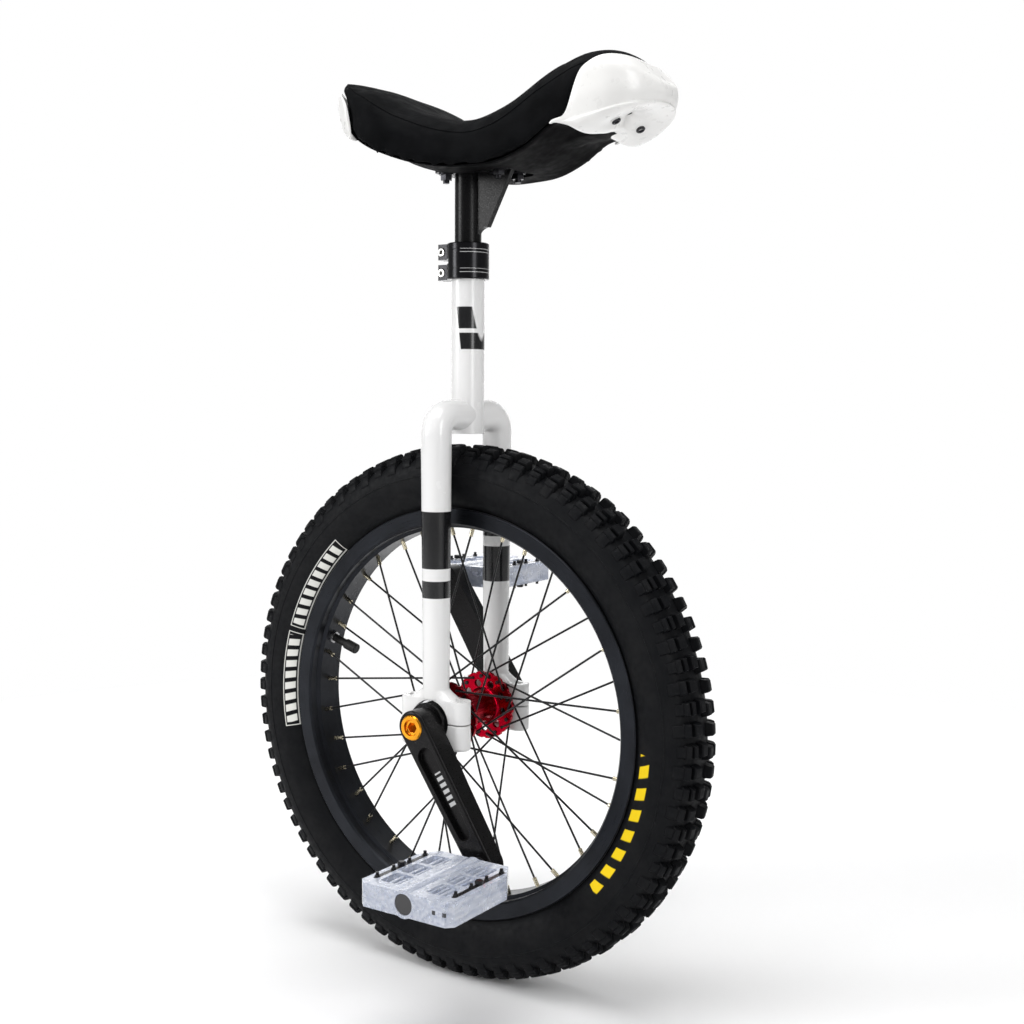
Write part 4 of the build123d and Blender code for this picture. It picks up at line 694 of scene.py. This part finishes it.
# How far up the side each bumper reaches, by x in mm: 2 is the lower edge, 1 the crease, 0 the spine.
FRONT_TOP_REACH = ((125, 2.0), (138, 1.93), (147, 1.78), (151, 1.5), (154, 1.28), (161, 1.13), (172, 1.0), (190, 0.84), (212, 0.7))
REAR_TOP_REACH = ((-125, 1.28), (-92, 1.28), (-82, 1.34), (-76, 1.5), (-73.5, 1.75), (-72.5, 2.0))
FRONT_BUMPER_TOP = smooth_curve(FRONT_TOP_REACH)
REAR_BUMPER_TOP = smooth_curve(REAR_TOP_REACH)


def bumper_depth(index, reach):
    """1 where a bumper covers the cushion, 0 well away from it."""
    x = SADDLE.side_of(index)
    if x > 100:
        return float(np.clip((reach - FRONT_BUMPER_TOP(x)) / 0.08 + 0.2, 0, 1)) if x > 130 else 0.0
    if x < -70:
        return float(np.clip((reach - REAR_BUMPER_TOP(x)) / 0.08 + 0.2, 0, 1))
    return 0.0


def bake_cloth(obj, pressure, cap, free):
    """Swells a closed mesh as pressurised cloth. No point moves further than the cap times its own freedom."""
    count = len(obj.data.vertices)
    rest = np.zeros(count * 3)
    obj.data.vertices.foreach_get("co", rest)
    rest = rest.reshape(-1, 3)
    modifier = obj.modifiers.new("cloth", "CLOTH")
    settings = modifier.settings
    settings.use_pressure = True
    settings.uniform_pressure_force = pressure
    settings.effector_weights.gravity = 0
    settings.quality = 5
    modifier.point_cache.frame_start, modifier.point_cache.frame_end = 1, 20
    for number in range(1, 21):
        bpy.context.scene.frame_set(number)
    moved = np.zeros(count * 3)
    obj.evaluated_get(bpy.context.evaluated_depsgraph_get()).data.vertices.foreach_get("co", moved)
    obj.modifiers.remove(modifier)
    bpy.context.scene.frame_set(1)
    shift = moved.reshape(-1, 3) - rest
    length = np.linalg.norm(shift, axis=1)
    limit = cap * np.array([free(p) for p in rest])
    share = np.where(length > 1e-9, np.minimum(1, limit / np.maximum(length, 1e-9)), 0)
    obj.data.vertices.foreach_set("co", (rest + shift * share[:, None]).ravel())
    obj.data.update()


def remeshed(obj, voxel):
    modifier = obj.modifiers.new("voxels", "REMESH")
    modifier.mode = "VOXEL"
    modifier.voxel_size = voxel
    apply_modifiers(obj)


def apply_modifiers(obj):
    """Replaces the object's mesh by its evaluated mesh."""
    evaluated = obj.evaluated_get(bpy.context.evaluated_depsgraph_get())
    mesh = bpy.data.meshes.new_from_object(evaluated)
    obj.modifiers.clear()
    obj.data = mesh


def merge_points(obj, distance):
    work = bmesh.new()
    work.from_mesh(obj.data)
    bmesh.ops.remove_doubles(work, verts=work.verts, dist=distance)
    bmesh.ops.recalc_face_normals(work, faces=work.faces)
    work.to_mesh(obj.data)
    work.free()


def relax(obj, rounds):
    """Evens out the mesh a little."""
    modifier = obj.modifiers.new("relax", "SMOOTH")
    modifier.factor, modifier.iterations = 0.5, rounds
    apply_modifiers(obj)


def build_cushion():
    """Crowned foam pad in its cover, drawn in where the two bumpers hold it."""
    mesh = Mesh()
    swell = 2.0
    rings = []
    for reach in (0.0, 0.15, 0.3, 0.45, 0.6, 0.75, 0.88, 1.0, 1.08, 1.2, 1.35, 1.5, 1.65, 1.8, 1.92, 2.0):
        ring = []
        for index in range(SADDLE.count):
            sink = 0.8 + swell * (1 if reach > 0.05 else 0.6) * 0.5 + 6.0 * bumper_depth(index, reach)
            ring.append(above_axle(SADDLE.point(index, reach, -sink)))
        rings.append(ring)
    for share in (0.92, 0.7, 0.4, 0.0):
        ring = []
        for index in range(SADDLE.count):
            edge = SADDLE.outline[index]
            spine = np.array([min(max(edge[0], SPINE_MM[0]), SPINE_MM[1]), 0])
            flat = spine + (edge - SADDLE.normals[index] * 4 - spine) * share
            ring.append(above_axle((*flat, lower_edge(flat[0]) + 6)))
        rings.append(ring)
    mesh.grid(rings, close_columns=True)
    pad = mesh.object("cushion_cover", 180)
    merge_points(pad, 0.0002)
    remeshed(pad, 0.0042)
    relax(pad, 3)

    def free(point):
        """Freedom to swell: none below the lower edge or beside the bumpers."""
        x, z = point[0] / MM, (point[2] - AXLE.z) / MM
        above = np.clip((z - lower_edge(x) - 8) / 10, 0, 1)
        behind_nose = np.clip((142 - x) / 12, 0, 1) if z < 592 else 0.6
        before_rear = np.clip((x + 76) / 10, 0, 1) if z < 592 else 0.6
        return float(above * min(behind_nose, before_rear))

    bake_cloth(pad, 4.0, 0.0035, free)
    divide = pad.modifiers.new("finer", "SUBSURF")
    divide.levels = divide.render_levels = 1
    apply_modifiers(pad)
    pad.name = "cushion_cover"
    shade(pad.data, 180)
    return finish_piece(pad, "seat", "cushion_black", "saddle_cushion")


def tube(mesh, path, radius, closed=True, around=8):
    """Round cord along a path of points."""
    rows = []
    count = len(path)
    for i, point in enumerate(path):
        ahead = path[(i + 1) % count] if closed or i + 1 < count else path[i]
        behind = path[i - 1] if closed or i > 0 else path[i]
        along = (ahead - behind).normalized()
        right = along.cross(Vector((0, 0, 1))).normalized()
        up = right.cross(along)
        rows.append([point + (right * cos(a) + up * sin(a)) * radius for a in np.linspace(0, 2 * pi, around, endpoint=False)])
    start = mesh.grid(rows, close_rows=closed, close_columns=True)
    if not closed:
        mesh.cap(start, around, flip=True)
        mesh.cap(start + (count - 1) * around, around)


def build_seam(pad):
    """Piping where the cover's top and side panels are sewn together, laid on the swollen cover."""
    mesh = Mesh()
    path = []
    for index in range(SADDLE.count):
        if bumper_depth(index, 1.0) > 0.2:
            continue
        place = above_axle(SADDLE.point(index, 1.0, 0.0))
        found, spot, normal, _ = pad.closest_point_on_mesh(place)
        path.append(spot + normal * 0.0001)
    front = max(range(len(path)), key=lambda i: (path[i] - path[i - 1]).length)
    path = path[front:] + path[:front]
    tube(mesh, path, 0.0006, closed=False)
    seam = mesh.object("cover_seam", 60)
    return finish_piece(seam, "seat", "cushion_black")


def thick_band(mesh, indices, outer_of, inner_of):
    """Closed shell over a run of meridians, from an outer and an inner line of points for each."""
    rows = [[above_axle(p) for p in outer_of(i) + inner_of(i)[::-1]] for i in indices]
    start = mesh.grid(rows, close_columns=True)
    width = len(rows[0])
    mesh.cap(start, width, flip=True)
    mesh.cap(start + (len(rows) - 1) * width, width)


def meridians(condition):
    """Indices of the outline's points that meet the condition, in one unbroken run."""
    chosen = [i for i in range(SADDLE.count) if condition(SADDLE.side_of(i))]
    gap = next((k for k in range(1, len(chosen)) if chosen[k] != chosen[k - 1] + 1), None)
    return chosen[gap:] + chosen[:gap] if gap else chosen


def fullness(x):
    """How far the grab lip is formed: 0 on the pointed tails, 1 from the front of the keel."""
    return float(np.clip((x - 136) / 13, 0, 1))


def lip_line(index, raised=0.0):
    """Lip and underside of the front bumper from the fold line in to the middle, raised by a wall's thickness."""
    x = SADDLE.side_of(index)
    fold = SADDLE.point(index, 2.0, 0.0)
    normal = SADDLE.normals[index]
    depth = fold[2] - lip_bottom(x)
    full = fullness(x)
    points = []
    for out, down in ((1.6, 0.03), (2.5, 0.16), (2.2, 0.34), (0.4, 0.56), (-3.5, 0.76), (-10.0, 0.93), (-21.0, 1.0)):
        inward = out - raised if out > -3 else out
        points.append(fold + np.array([normal[0] * inward, normal[1] * inward, -down * depth]) * full + (0, 0, raised))
    middle = np.array([min(x, SPINE_MM[1]), -normal[1] * 2.0, underside(x) + raised])
    start = points[-1]
    for share in (0.35, 0.7, 1.0):
        level = share * share * (3 - 2 * share)
        flat = start[:2] + (middle[:2] - start[:2]) * share * full
        points.append(np.array([*flat, start[2] + (middle[2] - start[2]) * level * full]))
    return points


def build_front_bumper():
    """White dome over the nose with a thick rounded grab lip, closed underneath, and a pointed tail on each side."""

    def outer(index):
        top = FRONT_BUMPER_TOP(SADDLE.side_of(index))
        points = [SADDLE.point(index, top, -1.0)]
        points += [SADDLE.point(index, reach, 1.4) for reach in np.linspace(top, 1.97, 14)]
        return points + lip_line(index)

    def inner(index):
        top = FRONT_BUMPER_TOP(SADDLE.side_of(index))
        points = [SADDLE.point(index, reach, -1.6) for reach in np.linspace(top, 1.9, 10)]
        return points + lip_line(index, 2.5)

    mesh = Mesh()
    thick_band(mesh, meridians(lambda x: x > 124), outer, inner)
    bumper = mesh.object("front_bumper_dome", 180)
    merge_points(bumper, 0.00002)
    divide = bumper.modifiers.new("finer", "SUBSURF")
    divide.levels = divide.render_levels = 2
    apply_modifiers(bumper)
    shade(bumper.data, 50)
    return finish_piece(bumper, "seat", "bumper_white", "front_bumper")


def build_rear_bumper():
    """White guard round the lower back of the saddle, turned in underneath."""

    def outer(index):
        top = REAR_BUMPER_TOP(SADDLE.side_of(index))
        points = [SADDLE.point(index, top, -1.2)]
        points += [SADDLE.point(index, reach, 1.3) for reach in np.linspace(top, 1.96, 10)]
        lower = SADDLE.point(index, 2.0, 0.0)
        normal = SADDLE.normals[index]
        for out, down in ((1.0, -1.2), (-1.0, -2.6), (-8.0, -3.4)):
            points.append(lower + np.array([normal[0] * out, normal[1] * out, down]))
        return points

    def inner(index):
        top = REAR_BUMPER_TOP(SADDLE.side_of(index))
        points = [SADDLE.point(index, reach, -1.6) for reach in np.linspace(top, 1.92, 8)]
        lower = SADDLE.point(index, 2.0, 0.0)
        normal = SADDLE.normals[index]
        points.append(lower + np.array([normal[0] * -8.0, normal[1] * -8.0, -1.2]))
        return points

    mesh = Mesh()
    thick_band(mesh, meridians(lambda x: x < -73), outer, inner)
    bumper = mesh.object("rear_bumper_guard", 180)
    merge_points(bumper, 0.00002)
    divide = bumper.modifiers.new("finer", "SUBSURF")
    divide.levels = divide.render_levels = 2
    apply_modifiers(bumper)
    shade(bumper.data, 50)
    return finish_piece(bumper, "seat", "bumper_white", "rear_bumper")


def half_width(x):
    """Half width of the saddle's outline at x, in mm."""
    if x < REAR_CENTRE_MM:
        return REAR_HALF_WIDTH_MM * sqrt(max(0, 1 - ((x - REAR_CENTRE_MM) / REAR_LENGTH_MM) ** 2))
    if x > NOSE_CENTRE_MM:
        return NOSE_HALF_WIDTH_MM * sqrt(max(0, 1 - ((x - NOSE_CENTRE_MM) / NOSE_LENGTH_MM) ** 2))
    return waist(x)


def build_base():
    """Black moulded base under the foam: a rolled rim, a floor and a keel, with a pocket for the plate."""
    mesh = Mesh()
    rows = []
    for x in np.linspace(-112, 158, 55):
        rim, edge, keel = half_width(x) - 8.5, lower_edge(x), min(keel_bottom(x), lower_edge(x) + 1.5)
        side = min(12.0 + 0.25 * max(0, 62 - x), 0.6 * rim)
        floor = max(edge + 1.0, keel + 0.5)
        if x > 138:
            rim -= (x - 138) * 0.8
        half = [(rim - 1.0, edge + 3.5), (rim, edge + 2.4), (rim - 1.2, edge + 1.3), (rim - 5, edge + 1.0)]
        half += [(rim - 8, edge + 1.6), (0.72 * rim + 0.28 * side, floor), (side + 7, 0.6 * floor + 0.4 * keel)]
        half += [(side + 2, 0.15 * floor + 0.85 * keel), (side, keel), (0.55 * side, keel - 0.3), (0.0, keel - 0.5)]
        top = [(0.0, edge + 12.0), (0.5 * rim, edge + 9.0)]
        section = [(-y, h) for y, h in top[:0:-1]] + top + [half[0]] + half[1:]
        section += [(-y, h) for y, h in half[-2::-1]]
        rows.append([above_axle((x, y, h)) for y, h in section])
    start = mesh.grid(rows, close_columns=True)
    width = len(rows[0])
    mesh.cap(start, width, flip=True)
    mesh.cap(start + (len(rows) - 1) * width, width)
    base = mesh.object("saddle_base_shell", 180)
    merge_points(base, 0.00002)
    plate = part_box("saddle_stiffener")
    low, high = Vector(plate[0]), Vector(plate[1])
    cutter = pocket_block("pocket", (low + high) / 2, (high.x - low.x + 9 * MM, high.y - low.y + 9 * MM), 0.045, 7.7 * MM)
    cut = base.modifiers.new("pocket", "BOOLEAN")
    cut.object, cut.operation, cut.solver = cutter, "DIFFERENCE", "EXACT"
    apply_modifiers(base)
    bpy.data.objects.remove(cutter)
    shade(base.data, 35)
    return finish_piece(base, "seat", "base_black", "saddle_base")


def pocket_block(name, centre, size, depth, drop):
    """Round-cornered block that hangs down by its depth from drop under a point."""
    corner = 0.008
    outline = []
    for turn in range(4):
        middle = Vector(((size[0] / 2 - corner) * (1, -1, -1, 1)[turn], (size[1] / 2 - corner) * (1, 1, -1, -1)[turn]))
        for step in range(5):
            angle = (turn + step / 4) * pi / 2
            outline.append((centre.x + middle.x + corner * cos(angle), centre.y + middle.y + corner * sin(angle)))
    top = centre.z - drop
    mesh = Mesh()
    start = mesh.grid([[(x, y, top - depth) for x, y in outline], [(x, y, top) for x, y in outline]], close_columns=True)
    mesh.cap(start, len(outline), flip=True)
    mesh.cap(start + len(outline), len(outline))
    return mesh.object(name)


def islands(node):
    """Lowest and highest corners of each separate solid in a CAD node."""
    work = bmesh.new()
    work.from_mesh(NODES[node].data)
    bmesh.ops.remove_doubles(work, verts=work.verts, dist=1e-6)
    seen, boxes = set(), []
    for first in work.verts:
        if first in seen:
            continue
        seen.add(first)
        stack, points = [first], []
        while stack:
            vert = stack.pop()
            points.append(vert.co.copy())
            for edge in vert.link_edges:
                other = edge.other_vert(vert)
                if other not in seen:
                    seen.add(other)
                    stack.append(other)
        boxes.append([Vector(pick(p[k] for p in points) for k in range(3)) for pick in (min, max)])
    work.free()
    return boxes


def lathe(mesh, centre, direction, profile, around):
    """Solid of revolution along a direction, from (radius, distance) pairs that start and end on the axis."""
    direction = Vector(direction).normalized()
    side = direction.orthogonal().normalized()
    other = direction.cross(side)
    rows = []
    for radius, along in profile:
        ring = []
        for k in range(around):
            a = 2 * pi * k / around
            ring.append(centre + direction * along + (side * cos(a) + other * sin(a)) * radius)
        rows.append(ring)
    start = mesh.grid(rows, close_columns=True, flip=True)
    mesh.cap(start, around)
    mesh.cap(start + (len(rows) - 1) * around, around, flip=True)


def build_screw_heads(front, rear):
    """Low socket heads of the four bumper screws, seated on the undersides of the bumpers."""
    mesh = Mesh()
    r = 0.0042
    profile = ((0.0022, 0.0), (0.0022, 0.0016), (r * 0.8, 0.002), (r, 0.0012), (r, -0.003))
    for low, high in islands("bumper_screws"):
        middle = (low + high) / 2
        bumper = front if middle.x > 0 else rear
        hit, spot, normal, _ = bumper.ray_cast(Vector((middle.x, middle.y, AXLE.z + 0.4)), Vector((0, 0, 1)))
        if hit:
            lathe(mesh, spot, normal if normal.z < 0 else -normal, profile, 20)
    heads = mesh.object("bumper_screw_heads", 30)
    return finish_piece(heads, "seat", "dark_steel", "bumper_screws")


cushion = build_cushion()
build_seam(cushion)
front_bumper = build_front_bumper()
rear_bumper = build_rear_bumper()
build_base()
build_screw_heads(front_bumper, rear_bumper)


# ---------------------------------------------------------------- pedals


def ribbed_height(across, along, length):
    """Half thickness in mm of a pedal's web, at a distance from the barrel and along the axle."""
    ends = np.clip(min(along, length - along) / 2.5, 0, 1)
    height = 4.6 + 3.2 * (1 - ends)
    for place, tall, wide in ((4.5, 9.2, 1.5), (10.0, 8.2, 1.2), (15.5, 8.8, 1.4)):
        rib = np.clip((wide + 0.9 - abs(across - place)) / 0.9, 0, 1)
        height = max(height, 4.6 + (tall - 4.6) * float(rib) * float(np.clip(min(along, length - along) / 4 + 0.4, 0, 1)))
    for place in (0.3, 0.68):
        cross = np.clip((2.4 - abs(along - place * length)) / 0.9, 0, 1)
        height = max(height, 4.6 + 2.6 * float(cross))
    return height


def build_pedal_webs(side):
    """Clear webs between a pedal's barrel and its pin rails, with long ribs beside the barrel."""
    name = SIDE_NAMES[side]
    low, high = (Vector(corner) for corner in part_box(f"{name}_pedal_body"))
    axis = (low + high) / 2
    length = (high.y - low.y) / MM - 8
    mesh = Mesh()
    for direction in (-1, 1):
        rows = []
        for along in np.linspace(0, length, 67):
            top, bottom = [], []
            for across in np.linspace(0, 23.5, 48):
                x = axis.x + direction * (11.2 + across) * MM
                y = low.y + (4 + along) * MM
                rise = ribbed_height(across, along, length) * MM
                top.append((x, y, axis.z + rise))
                bottom.append((x, y, axis.z - rise))
            rows.append(top + bottom[::-1])
        start = mesh.grid(rows, close_columns=True, flip=direction < 0)
        mesh.cap(start, len(rows[0]), flip=direction > 0)
        mesh.cap(start + (len(rows) - 1) * len(rows[0]), len(rows[0]), flip=direction < 0)
    webs = mesh.object(f"{name}_pedal_webs", 30)
    return finish_piece(webs, f"{name}_pedal", "pedal_clear")


def build_pin_nuts(side):
    """Six-sided base round each pedal pin."""
    name = SIDE_NAMES[side]
    low, high = (Vector(corner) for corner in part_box(f"{name}_pedal_body"))
    mesh = Mesh()
    profile = ((0.0014, 0.0026), (0.0032, 0.0026), (0.0038, 0.0018), (0.0038, -0.001), (0.0014, -0.001))
    places = {(round((a.x + b.x) / 2, 3), round((a.y + b.y) / 2, 3)) for a, b in islands(f"{name}_pedal_pins")}
    for x, y in sorted(places):
        for up, level in ((1, high.z), (-1, low.z)):
            lathe(mesh, Vector((x, y, level)), (0, 0, up), profile, 6)
    nuts = mesh.object(f"{name}_pedal_pin_bases", 30)
    return finish_piece(nuts, f"{name}_pedal", "pin_black")


for side in (RIGHT, LEFT):
    build_pedal_webs(side)
    build_pin_nuts(side)


# ---------------------------------------------------------------- stage, lights and camera


def build_stage():
    """Plain pale floor that curves up far behind and fades to white, so that no horizon shows."""
    mesh = Mesh()
    steps = [(-6.0, 0.0), (2.5, 0.0)] + [(2.5 + 2.0 * sin(a), 2.0 - 2.0 * cos(a)) for a in np.linspace(0.1, pi / 2, 12)]
    steps.append((4.5, 8.0))
    back = Vector((-sin(radians(33.7)), cos(radians(33.7)), 0))
    across = Vector((back.y, -back.x, 0))
    mesh.grid([[back * d + across * s + Vector((0, 0, h)) for s in (-9.0, 9.0)] for d, h in steps])
    floor = mesh.object("floor", 60)
    m = Paint("floor_paint", (0.86, 0.86, 0.86), 0.7)
    m.set(**{"Base Color": m.mix(m.step(m.noise(1.5), 0.3, 0.7), (0.87, 0.87, 0.87), (0.85, 0.85, 0.855))})
    x, y, _ = m.axes()
    reach = m.math("SQRT", m.math("ADD", m.product(x, x), m.product(y, y)))
    seen = m.node("ShaderNodeLightPath").outputs["Is Camera Ray"]
    fade = m.node("ShaderNodeMixShader")
    m.feed(fade.inputs[0], m.product(m.step(reach, 0.55, 1.5), seen))
    m.feed(fade.inputs[1], m.shader.outputs[0])
    m.feed(fade.inputs[2], m.node("ShaderNodeEmission").outputs[0])
    m.feed(m.output.inputs[0], fade.outputs[0])
    give(floor, m.material)


def area_light(name, place, target, size, power, color=(1, 1, 1)):
    data = bpy.data.lights.new(name, "AREA")
    data.shape = "RECTANGLE"
    data.size, data.size_y = size
    data.energy = power
    data.color = color
    light = bpy.data.objects.new(name, data)
    bpy.context.scene.collection.objects.link(light)
    light.location = place
    light.rotation_mode = "QUATERNION"
    light.rotation_quaternion = (Vector(target) - Vector(place)).to_track_quat("-Z", "Y")
    return light


def build_lights():
    """Soft light from overhead and from both sides of the camera, in a pale room."""
    world = bpy.data.worlds.new("studio")
    bpy.context.scene.world = world
    world.use_nodes = True
    links, nodes = world.node_tree.links, world.node_tree.nodes
    background = nodes["Background"]
    background.inputs["Color"].default_value = (1, 1, 1, 1)
    strength = nodes.new("ShaderNodeMapRange")
    strength.inputs["To Min"].default_value = 0.27
    strength.inputs["To Max"].default_value = 1.0
    links.new(nodes.new("ShaderNodeLightPath").outputs["Is Camera Ray"], strength.inputs["Value"])
    links.new(strength.outputs[0], background.inputs["Strength"])
    area_light("overhead", (0.1, -0.4, 2.8), (0, 0, 0.4), (2.0, 2.0), 62)
    area_light("key", (-1.9, -2.1, 1.5), (0, 0, 0.4), (0.9, 1.6), 46)
    area_light("fill", (2.5, -0.9, 1.3), (0, 0, 0.4), (0.8, 1.8), 24)
    area_light("backdrop_light", (-1.2, 2.0, 2.6), (-2.2, 3.6, 0.6), (2.5, 1.5), 90)


def build_camera():
    """Camera a little above the saddle's middle, at the right front."""
    turn, tilt, roll = radians(33.70), radians(4.68), radians(0.30)
    back = Vector((sin(turn) * cos(tilt), -cos(turn) * cos(tilt), sin(tilt)))
    data = bpy.data.cameras.new("camera")
    data.sensor_width = 36.0
    data.lens = 47.95
    data.clip_start, data.clip_end = 0.05, 50.0
    camera = bpy.data.objects.new("camera", data)
    bpy.context.scene.collection.objects.link(camera)
    camera.location = AXLE + Vector((0.764, -1.068, 0.302))
    camera.rotation_mode = "QUATERNION"
    camera.rotation_quaternion = (-back).to_track_quat("-Z", "Y") @ Matrix.Rotation(roll, 3, "Z").to_quaternion()
    bpy.context.scene.camera = camera


build_stage()
build_lights()
build_camera()
bpy.context.scene.view_settings.view_transform = "Standard"
